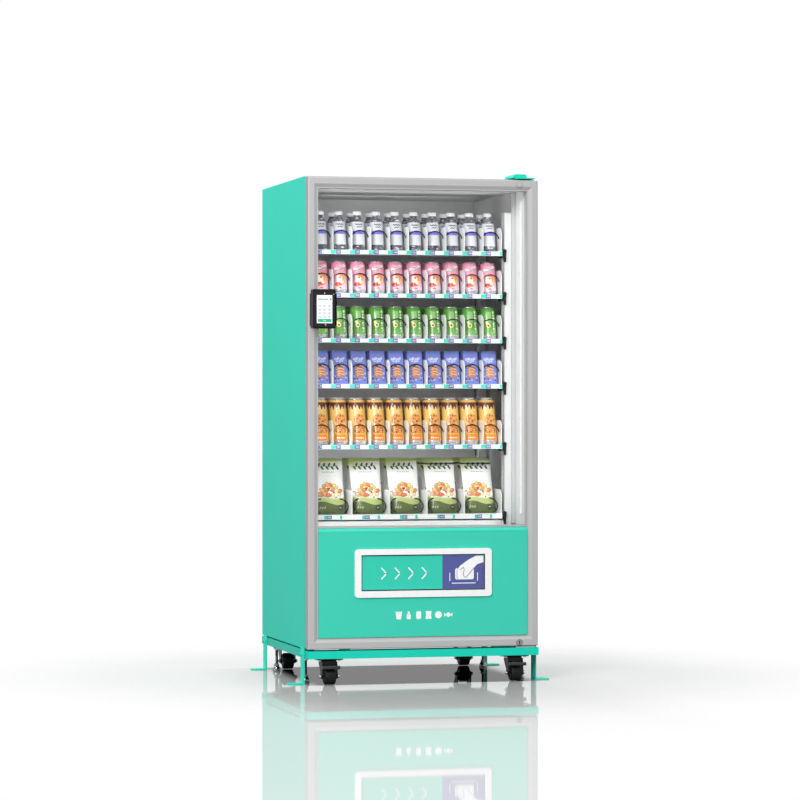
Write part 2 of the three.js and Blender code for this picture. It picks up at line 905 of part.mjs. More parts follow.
function makeDoorFrame() {
  const w = door.halfWidth;
  const y0 = behind(0);
  const y1 = behind(door.thickness);
  const r = door.edgeRound;
  const plan = new THREE.Shape();
  plan.moveTo(-w + r, y0);
  plan.lineTo(w - r, y0);
  plan.absarc(w - r, y0 + r, r, -Math.PI / 2, 0);
  plan.lineTo(w, y1 - door.rearChamfer);
  plan.lineTo(w - door.rearChamfer, y1);
  plan.lineTo(-w + door.rearChamfer, y1);
  plan.lineTo(-w, y1 - door.rearChamfer);
  plan.lineTo(-w, y0 + r);
  plan.absarc(-w + r, y0 + r, r, Math.PI, Math.PI * 1.5);
  const upright = prism("z", plan, door.bottom, door.top);
  const ease = door.endChamfer;
  const profile = [
    [y0 + ease, door.bottom],
    [y1, door.bottom],
    [y1, door.top],
    [y0 + ease, door.top],
    [y0, door.top - ease],
    [y0, door.bottom + ease],
  ];
  const blank = upright.intersect(prism("x", profile, -w - PAST, w + PAST));
  const out = 1; // how far the cutting funnel starts in front of the face
  const slope = door.bevelWidth / door.bevelDepth;
  const bevelAt = (depth) => {
    const shrink = door.faceWidth + slope * depth;
    return {
      x0: -w + shrink,
      x1: w - shrink,
      y: behind(depth),
      z0: door.bottom + shrink,
      z1: door.top - shrink,
    };
  };
  const bevel = funnel(bevelAt(-out), bevelAt(door.bevelDepth));
  const window = block(
    [-openingHalf, y0 - PAST, openingBottom],
    [openingHalf, y1 + PAST, openingTop],
  );
  const glazing = block(
    [-openingHalf - rebate.grow, behind(rebate.front), panel.top - rebate.belowPanelTop],
    [openingHalf + rebate.grow, y1 + PAST, openingTop + rebate.grow],
  );
  const at = (z) => [hinge.x, behind(hinge.depth), z];
  const lowerHole = bar(at(door.bottom - PAST), at(door.bottom + hinge.reach), hinge.holeRadius);
  const upperHole = bar(at(door.top - hinge.reach), at(door.top + PAST), hinge.holeRadius);
  return cut(blank, bevel, window, glazing, lowerHole, upperHole);
}
addPiece("door_frame", makeDoorFrame(), paint.greyFrame);

addPiece(
  "door_glass",
  block(
    [-openingHalf - rebate.grow + GAP, behind(rebate.front) + GAP, panel.top + GAP],
    [openingHalf + rebate.grow - GAP, behind(door.glassBack), openingTop + rebate.grow - GAP],
  ),
  paint.glass,
);

const gasket = { outer: 428, inner: 412, bottomOuter: 166, topOuter: 1900, width: 16 };
function makeGasket() {
  const y0 = behind(door.thickness) + GAP;
  const y1 = cabinetFrontY - GAP;
  const { outer, inner, bottomOuter, topOuter, width } = gasket;
  return cut(
    block([-outer, y0, bottomOuter], [outer, y1, topOuter]),
    block([-inner, y0 - PAST, bottomOuter + width], [inner, y1 + PAST, topOuter - width]),
  );
}
addPiece("door_gasket", makeGasket(), paint.black);

const sleeve = {
  left: port.left - bezel.sleeve,
  right: port.right + bezel.sleeve,
  bottom: port.bottom - bezel.sleeve,
  top: port.top + bezel.sleeve,
};

function makeLowerPanel() {
  const y0 = behind(panel.front);
  const y1 = behind(panel.back);
  const r = panel.ledge;
  const bottom = openingBottom + GAP;
  const profile = new THREE.Shape();
  profile.moveTo(y0, bottom);
  profile.lineTo(y1, bottom);
  profile.lineTo(y1, panel.top);
  profile.lineTo(y0 + r, panel.top);
  profile.absarc(y0 + r, panel.top - r, r, Math.PI / 2, Math.PI);
  const edge = openingHalf - GAP;
  const sheet = prism("x", profile, -edge, edge);
  const grooveTop = panel.top - r - 1;
  const groove = block(
    [-edge - PAST, y0 - 1, grooveTop - panel.groove],
    [edge + PAST, y0 + 1, grooveTop],
  );
  const hole = block(
    [sleeve.left - GAP, y0 - PAST, sleeve.bottom - GAP],
    [sleeve.right + GAP, y1 + PAST, sleeve.top + GAP],
  );
  return cut(sheet, groove, hole);
}
addPiece("lower_panel", makeLowerPanel(), paint.teal);

function makeBezel() {
  const { border, borderBelow, borderAbove, round } = bezel;
  const flange = prism(
    "y",
    roundedRectangle(
      port.left - border,
      port.bottom - borderBelow,
      port.right + border,
      port.top + borderAbove,
      round,
    ),
    behind(bezel.front),
    behind(panel.front) - GAP,
  );
  const neck = block(
    [sleeve.left, behind(panel.front) - 1, sleeve.bottom],
    [sleeve.right, behind(bezel.back), sleeve.top],
  );
  const hole = block(
    [port.left, behind(bezel.front) - PAST, port.bottom],
    [port.right, behind(bezel.back) + PAST, port.top],
  );
  const pivotY = behind(flap.front + flap.thickness / 2);
  const pivots = bar(
    [port.left - flap.holeReach, pivotY, flap.pivotZ],
    [port.right + flap.holeReach, pivotY, flap.pivotZ],
    flap.pinHole,
    8,
  );
  return cut(join(flange, neck), hole, pivots);
}
addPiece("flap_bezel", makeBezel(), paint.white);

function makeFlap() {
  const y0 = behind(flap.front);
  const y1 = y0 + flap.thickness;
  const pivotY = (y0 + y1) / 2;
  const leaf = block(
    [port.left + flap.sideGap, y0, port.bottom + flap.bottomGap],
    [port.right - flap.sideGap, y1, port.top - flap.topGap],
  );
  const pin = bar(
    [port.left - flap.pinReach, pivotY, flap.pivotZ],
    [port.right + flap.pinReach, pivotY, flap.pivotZ],
    flap.pinRadius,
    8,
  );
  return join(leaf, pin);
}
addPiece("delivery_flap", makeFlap(), paint.teal);

// The window in the terminal's face, with its screen set in by the gap.
function terminalWindow(gap, front, back) {
  const { left, right, bottom, top, reach, bezel: edge, chin } = terminal;
  const faceY = behind(-reach);
  return block(
    [left + edge + gap, faceY + front, bottom + edge + chin + gap],
    [right - edge - gap, faceY + back, top - edge - gap],
  );
}

function makeTerminalHousing() {
  const { left, right, bottom, top, reach, headBack, pocket, rear } = terminal;
  const face = roundedRectangle(left, bottom, right, top, terminal.round);
  const head = prism("y", face, behind(-reach), behind(-headBack));
  const body = block(
    [left + rear.inset, behind(-headBack - rear.overlap), bottom + rear.foot],
    [rear.right, behind(0) - GAP, top - rear.head],
  );
  return join(cut(head, terminalWindow(0, -PAST, pocket)), body);
}
addPiece("terminal_housing", makeTerminalHousing(), paint.black);
addPiece("terminal_screen", terminalWindow(GAP, 0.8, terminal.pocket - GAP), paint.white);

// ---------------------------------------------------------------- trays and spirals
const slotCentre = (slot) => tray.firstSlotLeft + (slot + 0.5) * tray.pitch;

// Side view of a divider: rounded at the front, sloping down to the motor wall at the back.
function dividerOutline(floor) {
  const { front, round: r, rearSlope } = tray.divider;
  const start = behind(tray.front) + front;
  const end = behind(tray.motorFace) + 1;
  const high = floor + tray.side;
  const outline = new THREE.Shape();
  outline.moveTo(start, floor - 1);
  outline.lineTo(end, floor - 1);
  outline.lineTo(end, floor + tray.motorWall);
  outline.lineTo(end - rearSlope, high);
  outline.lineTo(start + r, high);
  outline.absarc(start + r, high - r, r, Math.PI / 2, Math.PI);
  return outline;
}

function makeTray(floor, { channels, lip: lipHeight, coilLift }) {
  const { left, right, sheet, motors, hubHole } = tray;
  const y0 = behind(tray.front);
  const y1 = behind(tray.back);
  const wallY = behind(tray.motorFace);
  const wallTop = floor + tray.motorWall;
  const outline = dividerOutline(floor);
  const channelWidth = (slotTray.channels / channels) * tray.pitch;
  const edges = [left, right - sheet];
  for (let i = 1; i < channels; i++) edges.push(tray.firstSlotLeft + i * channelWidth - sheet / 2);
  const body = join(
    block([left, y0, floor - tray.floorSheet], [right, y1, floor]),
    block([left, y0, floor - lipHeight], [right, y0 + tray.lipSheet, floor]),
    block([left, wallY, floor - 1], [right, wallY + 3, wallTop]),
    block(
      [left + motors.inset, wallY + 2, floor + motors.bottom],
      [right - motors.inset, y1, floor + motors.top],
    ),
    ...edges.map((x) => prism("x", outline, x, x + sheet, 2)),
  );
  const hubAt = (y) => [slotCentre(coil.slot), y, floor + coilLift];
  return cut(body, bar(hubAt(wallY - PAST), hubAt(wallY + hubHole.depth), hubHole.radius, 8));
}

class Helix extends THREE.Curve {
  constructor(x, z, startY, endY, startAngle) {
    super();
    Object.assign(this, { x, z, startY, endY, startAngle });
  }
  getPoint(t) {
    const y = this.startY + t * (this.endY - this.startY);
    const angle = this.startAngle + ((y - this.startY) / coil.turnPitch) * 2 * Math.PI;
    return new THREE.Vector3(
      this.x + coil.radius * Math.cos(angle),
      y,
      this.z + coil.radius * Math.sin(angle),
    );
  }
}

function makeCoil(floor, { coilLift, coilStart }) {
  const x = slotCentre(coil.slot);
  const z = floor + coilLift;
  const startY = behind(coil.front);
  const endY = behind(coil.back);
  const h = coil.wire / 2;
  const section = new THREE.Shape([
    new THREE.Vector2(-h, -h),
    new THREE.Vector2(h, -h),
    new THREE.Vector2(h, h),
    new THREE.Vector2(-h, h),
  ]);
  const turns = (coil.back - coil.front) / coil.turnPitch;
  const stepsPerTurn = 8;
  const wire = new THREE.ExtrudeGeometry(section, {
    steps: Math.round(turns * stepsPerTurn),
    extrudePath: new Helix(x, z, startY, endY, coilStart),
  });
  const endAngle = coilStart + turns * 2 * Math.PI;
  const tip = [
    x + (coil.radius + 1) * Math.cos(endAngle),
    endY - 1,
    z + (coil.radius + 1) * Math.sin(endAngle),
  ];
  const arm = bar(tip, [x, endY - 1, z], h, 6);
  const { radius, front, back } = coil.hub;
  const hub = bar([x, endY - front, z], [x, endY + back, z], radius, 8);
  return join(solidOf(wire), arm, hub);
}

trayFloors.forEach((floor, i) => {
  const kind = i === trayFloors.length - 1 ? bagTray : slotTray;
  addPiece(`tray_${i + 1}`, makeTray(floor, kind), paint.white);
  addPiece(`coil_${i + 1}`, makeCoil(floor, kind), paint.black);
});

export default machine;
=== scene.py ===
"""Looks of the snack vending machine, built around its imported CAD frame.

Row frame: metres, +X to the right of a person facing the door, -Y out of the front, +Z up.
Shapes are drawn in millimetres as (x, depth, z), where depth is measured back from the door's face.
"""
import math

import bmesh
import bpy
from mathutils import Matrix, Vector


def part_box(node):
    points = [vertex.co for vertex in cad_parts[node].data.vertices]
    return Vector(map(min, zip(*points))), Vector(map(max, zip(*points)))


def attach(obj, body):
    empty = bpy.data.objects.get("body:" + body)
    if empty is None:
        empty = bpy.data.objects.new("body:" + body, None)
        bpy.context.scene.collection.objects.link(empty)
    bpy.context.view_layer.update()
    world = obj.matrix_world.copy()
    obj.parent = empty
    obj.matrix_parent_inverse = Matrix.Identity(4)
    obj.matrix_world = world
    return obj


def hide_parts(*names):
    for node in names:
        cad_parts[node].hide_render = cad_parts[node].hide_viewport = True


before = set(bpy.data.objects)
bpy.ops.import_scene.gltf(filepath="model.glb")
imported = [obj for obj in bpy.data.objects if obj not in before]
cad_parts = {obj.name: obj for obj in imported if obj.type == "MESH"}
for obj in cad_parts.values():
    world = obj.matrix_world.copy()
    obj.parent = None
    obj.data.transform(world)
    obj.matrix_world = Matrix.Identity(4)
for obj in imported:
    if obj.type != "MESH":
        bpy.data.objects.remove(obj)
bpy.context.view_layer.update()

MM = 0.001
DOOR_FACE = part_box("door_frame")[0].y
TRAYS = range(1, 7)
BAG_TRAY = 6
SLOTS = range(10)
MOVING_SLOT = 5
SLOT_PITCH = 74.6
TURN_PITCH = 104
ROWS = {1: 2, 2: 3, 3: 3, 4: 3, 5: 3, 6: 2}
FLOOR_GLOSS = 0.72
# Painted shade on the floor: FLOOR_WHITE is the grey near the machine, FADE_FROM to FADE_TO is how it fades
# out, and UNDER_SHADE and FRONT_SHADE darken it under and in front of the machine.
FLOOR_WHITE = (0.58, 0.58, 0.58, 1.0)
FADE_FROM, FADE_TO = 0.9, 1.95
SKY_HORIZON, SKY_ZENITH = 0.3, 1.0
FLOOR_BOUNCE = 0.25
UNDER_GLOSS = 0.37
UNDER_SHADE = 1.0
UNDER_FADE = 0.07
FRONT_SHADE = 0.2
FRONT_REACH = 2.2
FAR_BOUNCE = 0.3


def box_mm(node):
    """A CAD node's lowest and highest corners as (x, depth, z) in millimetres."""
    low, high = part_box(node)
    shift = Vector((0, DOOR_FACE, 0))
    return (low - shift) / MM, (high - shift) / MM


TRAY_BOXES = {k: box_mm(f"tray_{k}") for k in TRAYS}
TRAY_SIDE = 93
TRAY_LEFT, TRAY_RIGHT = TRAY_BOXES[1][0].x, TRAY_BOXES[1][1].x
TRAY_FRONT, TRAY_BACK = TRAY_BOXES[1][0].y, TRAY_BOXES[1][1].y
FLOORS = {k: TRAY_BOXES[k][1].z - TRAY_SIDE for k in TRAYS}
MOVING_X = 15.8
FIRST_X = MOVING_X - MOVING_SLOT * SLOT_PITCH
COIL_LIFT = {k: 32 if k == BAG_TRAY else 49 for k in TRAYS}
COIL_START = {k: -1.2 if k == BAG_TRAY else 0.0 for k in TRAYS}
COIL_RADIUS = 27
COIL_FRONT, COIL_BACK = 160.0, 690.0
MOTOR_WALL = 700
PORT = {"left": -245, "right": 242, "bottom": 354, "top": 491}
GAP_LIGHTS = {
    1: (190, 0.21), 2: (136, 0.068), 3: (136, 0.065),
    4: (144, 0.092), 5: (200, 0.14), 6: (244, 0.34),
}


# ------------------------------------------------------------------ materials
def srgb(*rgb):
    """A colour given as 0 to 255 per channel, as Blender's linear numbers."""
    channels = [c / 255 for c in rgb]
    return (*[c / 12.92 if c <= 0.04045 else ((c + 0.055) / 1.055) ** 2.4 for c in channels], 1.0)


class Finish:
    """A node material under construction. Its colour is a tuple until a node sets it."""

    def __init__(self, name, color, roughness=0.5, metallic=0.0, coat=0.0, specular=0.5):
        self.material = bpy.data.materials.new(name)
        self.material.use_nodes = True
        self.tree = self.material.node_tree
        self.shader = self.tree.nodes["Principled BSDF"]
        self.shader.inputs["Base Color"].default_value = color
        self.shader.inputs["Roughness"].default_value = roughness
        self.shader.inputs["Metallic"].default_value = metallic
        self.shader.inputs["Coat Weight"].default_value = coat
        self.shader.inputs["Specular IOR Level"].default_value = specular
        self.color = color

    def node(self, kind, **values):
        made = self.tree.nodes.new(kind)
        for key, value in values.items():
            if key in made.inputs:
                made.inputs[key].default_value = value
            else:
                setattr(made, key, value)
        return made

    def link(self, source, target):
        self.tree.links.new(source, target)

    def feed(self, socket, value):
        """Gives a socket a plain value, or links another socket to it."""
        if isinstance(value, (int, float, tuple)):
            socket.default_value = value
        else:
            self.link(value, socket)

    def math(self, operation, *values):
        made = self.node("ShaderNodeMath", operation=operation)
        for socket, value in zip(made.inputs, values):
            self.feed(socket, value)
        return made.outputs[0]

    def plus(self, a, b):
        return self.math("ADD", a, b)

    def minus(self, a, b):
        return self.math("SUBTRACT", a, b)

    def times(self, a, b):
        return self.math("MULTIPLY", a, b)

    def split(self, vector):
        made = self.node("ShaderNodeSeparateXYZ")
        self.link(vector, made.inputs[0])
        return made.outputs

    def place(self):
        """Where the surface is, in metres: its x, y and z sockets."""
        return self.split(self.node("ShaderNodeTexCoord").outputs["Object"])

    def noise(self, scale, detail=2.0, stretch=None):
        coordinates = self.node("ShaderNodeTexCoord").outputs["Object"]
        if stretch:
            mapping = self.node("ShaderNodeMapping", Scale=stretch)
            self.link(coordinates, mapping.inputs["Vector"])
            coordinates = mapping.outputs["Vector"]
        made = self.node("ShaderNodeTexNoise", Scale=scale, Detail=detail)
        self.link(coordinates, made.inputs["Vector"])
        return made.outputs["Fac"]

    def remap(self, value, low, high, to_low, to_high, blend="LINEAR"):
        made = self.node("ShaderNodeMapRange", interpolation_type=blend)
        for key, number in (("From Min", low), ("From Max", high), ("To Min", to_low), ("To Max", to_high)):
            made.inputs[key].default_value = number
        self.link(value, made.inputs["Value"])
        return made.outputs["Result"]

    def mix(self, fac, a, b):
        made = self.node("ShaderNodeMix", data_type="RGBA")
        for number, value in ((0, fac), (6, a), (7, b)):
            self.feed(made.inputs[number], value)
        return made.outputs[2]

    def repaint(self, color):
        self.color = color
        self.link(color, self.shader.inputs["Base Color"])

    def layer(self, mask, color):
        """Lays a colour over what is painted so far, where the mask is 1."""
        self.repaint(self.mix(mask, self.color, color))

    def mottle(self, scale, amount):
        """Lightens and darkens the colour a little in soft patches."""
        shade = self.remap(self.noise(scale), 0.3, 0.7, 1 - amount, 1 + amount)
        made = self.node("ShaderNodeVectorMath", operation="SCALE")
        under = self.color[:3] if isinstance(self.color, tuple) else self.color
        self.feed(made.inputs[0], under)
        self.link(shade, made.inputs["Scale"])
        self.repaint(made.outputs[0])

    def rough(self, scale, low, high, stretch=None):
        value = self.remap(self.noise(scale, stretch=stretch), 0.3, 0.7, low, high)
        self.link(value, self.shader.inputs["Roughness"])

    def bump(self, height, strength, distance):
        made = self.node("ShaderNodeBump", Strength=strength, Distance=distance)
        self.link(height, made.inputs["Height"])
        self.link(made.outputs["Normal"], self.shader.inputs["Normal"])

    def blend(self, share, first, second):
        """Two shaders mixed, with the share of the second."""
        made = self.node("ShaderNodeMixShader")
        for socket, source in zip(made.inputs, (share, first.outputs[0], second.outputs[0])):
            self.link(source, socket)
        return made

    def surface(self, shader):
        """Puts a shader in place of the plain one."""
        self.link(shader.outputs[0], self.tree.nodes["Material Output"].inputs["Surface"])
        self.tree.nodes.remove(self.shader)


def powder_coat(name, color, roughness=0.42, peel=0.12, specular=0.35):
    """Smooth powder coat with a fine orange peel."""
    made = Finish(name, color, roughness, specular=specular)
    made.mottle(3.0, 0.006)
    made.rough(14.0, roughness - 0.01, roughness + 0.01)
    made.bump(made.noise(900.0, 3.0), peel, 0.0003)
    return made.material


def moulded(name, color, roughness=0.5, grain=0.25, specular=0.35):
    """Moulded plastic with a fine spark grain."""
    made = Finish(name, color, roughness, specular=specular)
    made.mottle(20.0, 0.01)
    made.rough(60.0, roughness - 0.06, roughness + 0.06)
    made.bump(made.noise(1800.0, 2.0), grain, 0.0002)
    return made.material


def metal(name, color, roughness, stretch=None, spread=0.08):
    """Bare metal, brushed along one axis where stretch says so."""
    made = Finish(name, color, roughness, metallic=1.0)
    made.mottle(9.0, 0.04)
    made.rough(40.0, roughness - spread, roughness + spread, stretch=stretch)
    made.bump(made.noise(400.0, 2.0, stretch=stretch), 0.05, 0.0002)
    return made.material


def clear_glass(name, tint, gloss=1.0):
    """Clear glass that lets light straight through and mirrors at grazing angles."""
    made = Finish(name, tint, 0.03)
    clear = made.node("ShaderNodeBsdfTransparent", Color=tint)
    mirror = made.node("ShaderNodeBsdfGlossy", Roughness=0.02)
    grazing = made.node("ShaderNodeLayerWeight", Blend=0.5).outputs["Facing"]
    share = made.remap(made.math("POWER", grazing, 4.0), 0.0, 1.0, 0.003, gloss)
    made.surface(made.blend(share, clear, mirror))
    return made.material


def coated(made, peel):
    """Finishes a coat that is painted by place with soft patches and a fine orange peel."""
    made.mottle(3.0, 0.006)
    made.bump(made.noise(900.0, 3.0), peel, 0.0003)
    return made.material


def glowing(name, color, strength):
    """A lit surface, such as a display or an LED diffuser."""
    made = Finish(name, color, 0.3)
    made.shader.inputs["Emission Color"].default_value = color
    made.shader.inputs["Emission Strength"].default_value = strength
    made.mottle(30.0, 0.01)
    return made.material


def base_finish():
    """Teal rails, darker at the sides as painted shade, with the caster plates under them in black."""
    made = Finish("base_coat", srgb(36, 214, 188), 0.4, specular=0.03)
    x, _, z = made.place()
    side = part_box("base_frame")[1].x
    rail_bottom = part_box("caster_fork_front_left")[1].z + 0.0043
    # Painted shade: the rails' side faces get a darker teal than their fronts.
    made.layer(made.remap(made.math("ABSOLUTE", x), side - 0.0015, side - 0.0005, 0, 1), srgb(30, 186, 164))
    made.layer(made.remap(z, rail_bottom - 0.0002, rail_bottom, 1, 0), srgb(14, 14, 15))
    return coated(made, 0.12)


def door_frame_finish():
    """Silver grey, with the door's side faces darker than its front as painted shade."""
    made = Finish("door_frame_coat", srgb(185, 185, 185), 0.4, specular=0.3)
    across = made.math("ABSOLUTE", made.place()[0])
    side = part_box("door_frame")[1].x
    # Painted shade: the frame's side faces get a darker grey than its front.
    made.layer(made.remap(across, side - 0.0015, side - 0.0005, 0, 1), srgb(132, 132, 133))
    return coated(made, 0.08)


TEAL = powder_coat("teal_powder_coat", srgb(66, 210, 184), specular=0.12)
# Painted shade: the front's teal paint, darker and less shiny, for the side, top, back and floor panels.
TEAL_SHADED_PANELS = powder_coat("teal_coat_painted_shade", srgb(52, 202, 180), specular=0.012)
TEAL_BASE = powder_coat("teal_base_coat", srgb(36, 214, 188), 0.4, specular=0.03)
TEAL_PLASTIC = moulded("teal_flap_plastic", srgb(58, 208, 183), 0.35, 0.04, 0.12)
PURPLE = moulded("purple_flap_print", srgb(90, 96, 160), 0.35, 0.04, 0.15)
PRINT_WHITE = moulded("white_print", srgb(252, 252, 252), 0.4, 0.05)
FRAME_GREY = powder_coat("frame_silver_grey", srgb(185, 185, 185), 0.4, 0.08)
LOCK_GREY = powder_coat("lock_grey", srgb(150, 152, 154), 0.35, 0.08)
STRIP_GREY = powder_coat("strip_grey", srgb(177, 178, 179), 0.4, 0.1)
CAP_GREY = powder_coat("cap_grey", srgb(150, 151, 152), 0.35, 0.08)
POST_GREY = powder_coat("post_grey", srgb(196, 197, 197), 0.5, specular=0.15)
LINER_WHITE = powder_coat("liner_white", srgb(226, 226, 226), 0.6, specular=0.08)
TRAY_WHITE = powder_coat("tray_white", srgb(238, 238, 238), 0.4)
DUCT_GREY = powder_coat("duct_grey", srgb(212, 212, 213), 0.5, specular=0.1)
WHITE_PLASTIC = moulded("bezel_white", srgb(250, 250, 250), 0.28, 0.08)
ZINC = metal("zinc_plate", srgb(190, 194, 198), 0.35)
# Painted shade: a darker copy of the chrome, so the levelling feet look as dark as they do under the
# machine.
FOOT_CHROME_SHADED = metal("foot_chrome_painted_shade", srgb(128, 130, 132), 0.12, spread=0.03)
CHROME = metal("chrome", srgb(225, 226, 228), 0.1, spread=0.03)
BLACK_PAINT = powder_coat("black_powder_coat", srgb(16, 16, 17), 0.36, specular=0.22)
WIRE_BLACK = powder_coat("spiral_black", srgb(20, 20, 21), 0.35, specular=0.2)
BLACK_PLASTIC = moulded("black_plastic", srgb(20, 20, 21), 0.4, specular=0.25)
# Slightly lighter than the other black plastic: partly the pedal's own colour, partly a painted highlight
# for the sheen on its top.
PEDAL_BLACK = moulded("pedal_black", srgb(40, 40, 42), 0.35, specular=0.5)
HOUSING_BLACK = moulded("terminal_black", srgb(13, 13, 14), 0.5, specular=0.08)
GLASS_BLACK = moulded("terminal_glass_black", srgb(14, 14, 15), 0.12, 0.02, 0.3)
GREY_PLASTIC = moulded("grey_plastic", srgb(112, 114, 116), 0.5)
RUBBER = moulded("wheel_rubber", srgb(15, 15, 16), 0.55, 0.3, 0.22)
GASKET = moulded("gasket_rubber", srgb(196, 197, 198), 0.6, 0.2)
# Painted shade: near black, for thin pieces drawn where slots, gaps and openings show only shade.
OPENING_SHADE_BLACK = moulded("painted_opening_shade", srgb(24, 24, 25), 0.7, 0.1)
COPPER = metal("copper_pipe", srgb(200, 120, 84), 0.3)
PANE = clear_glass("door_pane", (0.996, 0.998, 0.997, 1.0), 0.6)
LED = glowing("led_diffuser", (1.0, 1.0, 1.0, 1.0), 3.0)


# ------------------------------------------------------------------ mesh making
AXES = {
    "x": Matrix(((0, 0, 1), (1, 0, 0), (0, 1, 0))),
    "y": Matrix(((1, 0, 0), (0, 0, 1), (0, 1, 0))),
    "z": Matrix(((1, 0, 0), (0, 1, 0), (0, 0, 1))),
}


class Sketch:
    """One piece's mesh while it is drawn, in millimetres as (x, depth, z)."""

    def __init__(self):
        self.mesh = bmesh.new()
        self.uv = self.mesh.loops.layers.uv.new("Label")
        self.paint = 0

    def face(self, corners, uvs=None):
        made = self.mesh.faces.new(corners)
        made.material_index = self.paint
        if uvs:
            for loop, uv in zip(made.loops, uvs):
                loop[self.uv].uv = uv
        return made

    def box(self, low, high):
        xs, ys, zs = zip(low, high)
        corner = [self.mesh.verts.new((x, y, z)) for x in xs for y in ys for z in zs]
        for ring in ((0, 1, 3, 2), (4, 6, 7, 5), (0, 4, 5, 1), (2, 3, 7, 6), (0, 2, 6, 4), (1, 5, 7, 3)):
            self.face([corner[i] for i in ring])

    def prism(self, outline, axis, start, end):
        """An outline swept along an axis: "x" takes (depth, z) points, "y" (x, z), "z" (x, depth)."""
        turn = AXES[axis]
        rings = [
            [self.mesh.verts.new(turn @ Vector((a, b, level))) for a, b in outline]
            for level in (start, end)
        ]
        for i in range(len(outline)):
            j = (i + 1) % len(outline)
            self.face([rings[0][i], rings[0][j], rings[1][j], rings[1][i]])
        self.face(rings[0][::-1])
        self.face(rings[1])

    def lathe(self, profile, centre, axis="z", steps=32, paints=None):
        """A profile of (radius, height) points turned about an axis. The label runs round in mm."""
        turn = AXES[axis]
        centre = Vector(centre)
        rings = []
        for radius, height in profile:
            if radius < 1e-6:
                rings.append([self.mesh.verts.new(centre + turn @ Vector((0, 0, height)))])
                continue
            ring = []
            for i in range(steps):
                angle = 2 * math.pi * (i / steps - 0.5)
                spot = Vector((radius * math.sin(angle), -radius * math.cos(angle), height))
                ring.append(self.mesh.verts.new(centre + turn @ spot))
            rings.append(ring)
        widest = max(r for r, _ in profile)
        for n, (low, high) in enumerate(zip(rings, rings[1:])):
            if paints:
                self.paint = paints[n]
            v0, v1 = profile[n][1], profile[n + 1][1]
            for i in range(steps):
                j = (i + 1) % steps
                u0 = (i - steps / 2) / steps * 2 * math.pi * widest
                u1 = u0 + 2 * math.pi * widest / steps
                a, b = low[i % len(low)], low[j % len(low)]
                c, d = high[j % len(high)], high[i % len(high)]
                corners = [(a, (u0, v0)), (b, (u1, v0)), (c, (u1, v1)), (d, (u0, v1))]
                if len(low) == 1:
                    corners.pop(1)
                elif len(high) == 1:
                    corners.pop(2)
                if len({id(v) for v, _ in corners}) > 2:
                    self.face([v for v, _ in corners], [uv for _, uv in corners])
        for ring, flip in ((rings[0], True), (rings[-1], False)):
            if len(ring) > 2:
                self.face(ring[::-1] if flip else ring)

    def tube(self, points, radius, sides=8):
        """A round tube along points, with closed ends."""
        points = [Vector(p) for p in points]
        rings = []
        normal = None
        for i, point in enumerate(points):
            ahead = points[min(i + 1, len(points) - 1)] - points[max(i - 1, 0)]
            ahead.normalize()
            if normal is None:
                helper = Vector((0, 0, 1)) if abs(ahead.z) < 0.9 else Vector((1, 0, 0))
                normal = ahead.cross(helper).normalized()
            else:
                normal = (normal - ahead * normal.dot(ahead)).normalized()
            side = ahead.cross(normal)
            ring = []
            for k in range(sides):
                angle = 2 * math.pi * k / sides
                offset = normal * math.cos(angle) + side * math.sin(angle)
                ring.append(self.mesh.verts.new(point + offset * radius))
            rings.append(ring)
        for low, high in zip(rings, rings[1:]):
            for k in range(sides):
                j = (k + 1) % sides
                self.face([low[k], low[j], high[j], high[k]])
        self.face(rings[0][::-1])
        self.face(rings[-1])

    def disc(self, centre, radius, thickness, steps=20):
        """A flat disc standing forward of its centre."""
        self.lathe([(0, 0), (radius, 0), (radius, -thickness), (0, -thickness)], centre, "y", steps)

    def ring(self, centre, axis, inner, outer, low, high, steps):
        self.lathe([(inner, low), (outer, low), (outer, high), (inner, high)], centre, axis, steps)

    def plate(self, x0, x1, z0, z1, depth, thickness, radius=0.0, steps=6):
        """A flat plate facing the front, with rounded corners, standing out by its thickness."""
        self.prism(rounded(x0, x1, z0, z1, radius, steps), "y", depth - thickness, depth)

    def bolt(self, centre, axis, radius, height, socket=True):
        """A hexagon head with a domed top, standing along an axis."""
        flat = radius * 0.82
        self.lathe(
            [(0, 0), (radius, 0), (radius, height * 0.75), (flat, height), (0, height)],
            centre, axis, 6,
        )
        if socket:
            washer = radius * 1.35
            self.lathe([(0, -0.4), (washer, -0.4), (washer, 0.6), (0, 0.6)], centre, axis, 20)

    def done(self, name, body, materials, slot, bevel=0.0, segments=2, smooth=38, cap=30):
        """Turns the sketch into a piece that rides on a body."""
        bmesh.ops.recalc_face_normals(self.mesh, faces=self.mesh.faces)
        to_metres = Matrix.Translation((0, DOOR_FACE, 0)) @ Matrix.Diagonal((MM, MM, MM, 1))
        bmesh.ops.transform(self.mesh, matrix=to_metres, verts=self.mesh.verts)
        data = bpy.data.meshes.new(name)
        self.mesh.to_mesh(data)
        self.mesh.free()
        made = bpy.data.objects.new(name, data)
        bpy.context.scene.collection.objects.link(made)
        for material in materials if isinstance(materials, (list, tuple)) else [materials]:
            data.materials.append(material)
        data.shade_smooth()
        data.set_sharp_from_angle(angle=math.radians(smooth))
        if bevel:
            add_bevel(made, bevel, segments, cap)
        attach(made, body)
        return made


def add_bevel(piece, width, segments=2, angle=30):
    bevel = piece.modifiers.new("edge_round", "BEVEL")
    bevel.width = width * MM
    bevel.segments = segments
    bevel.limit_method = "ANGLE"
    bevel.angle_limit = math.radians(angle)
    bevel.harden_normals = True
    return bevel


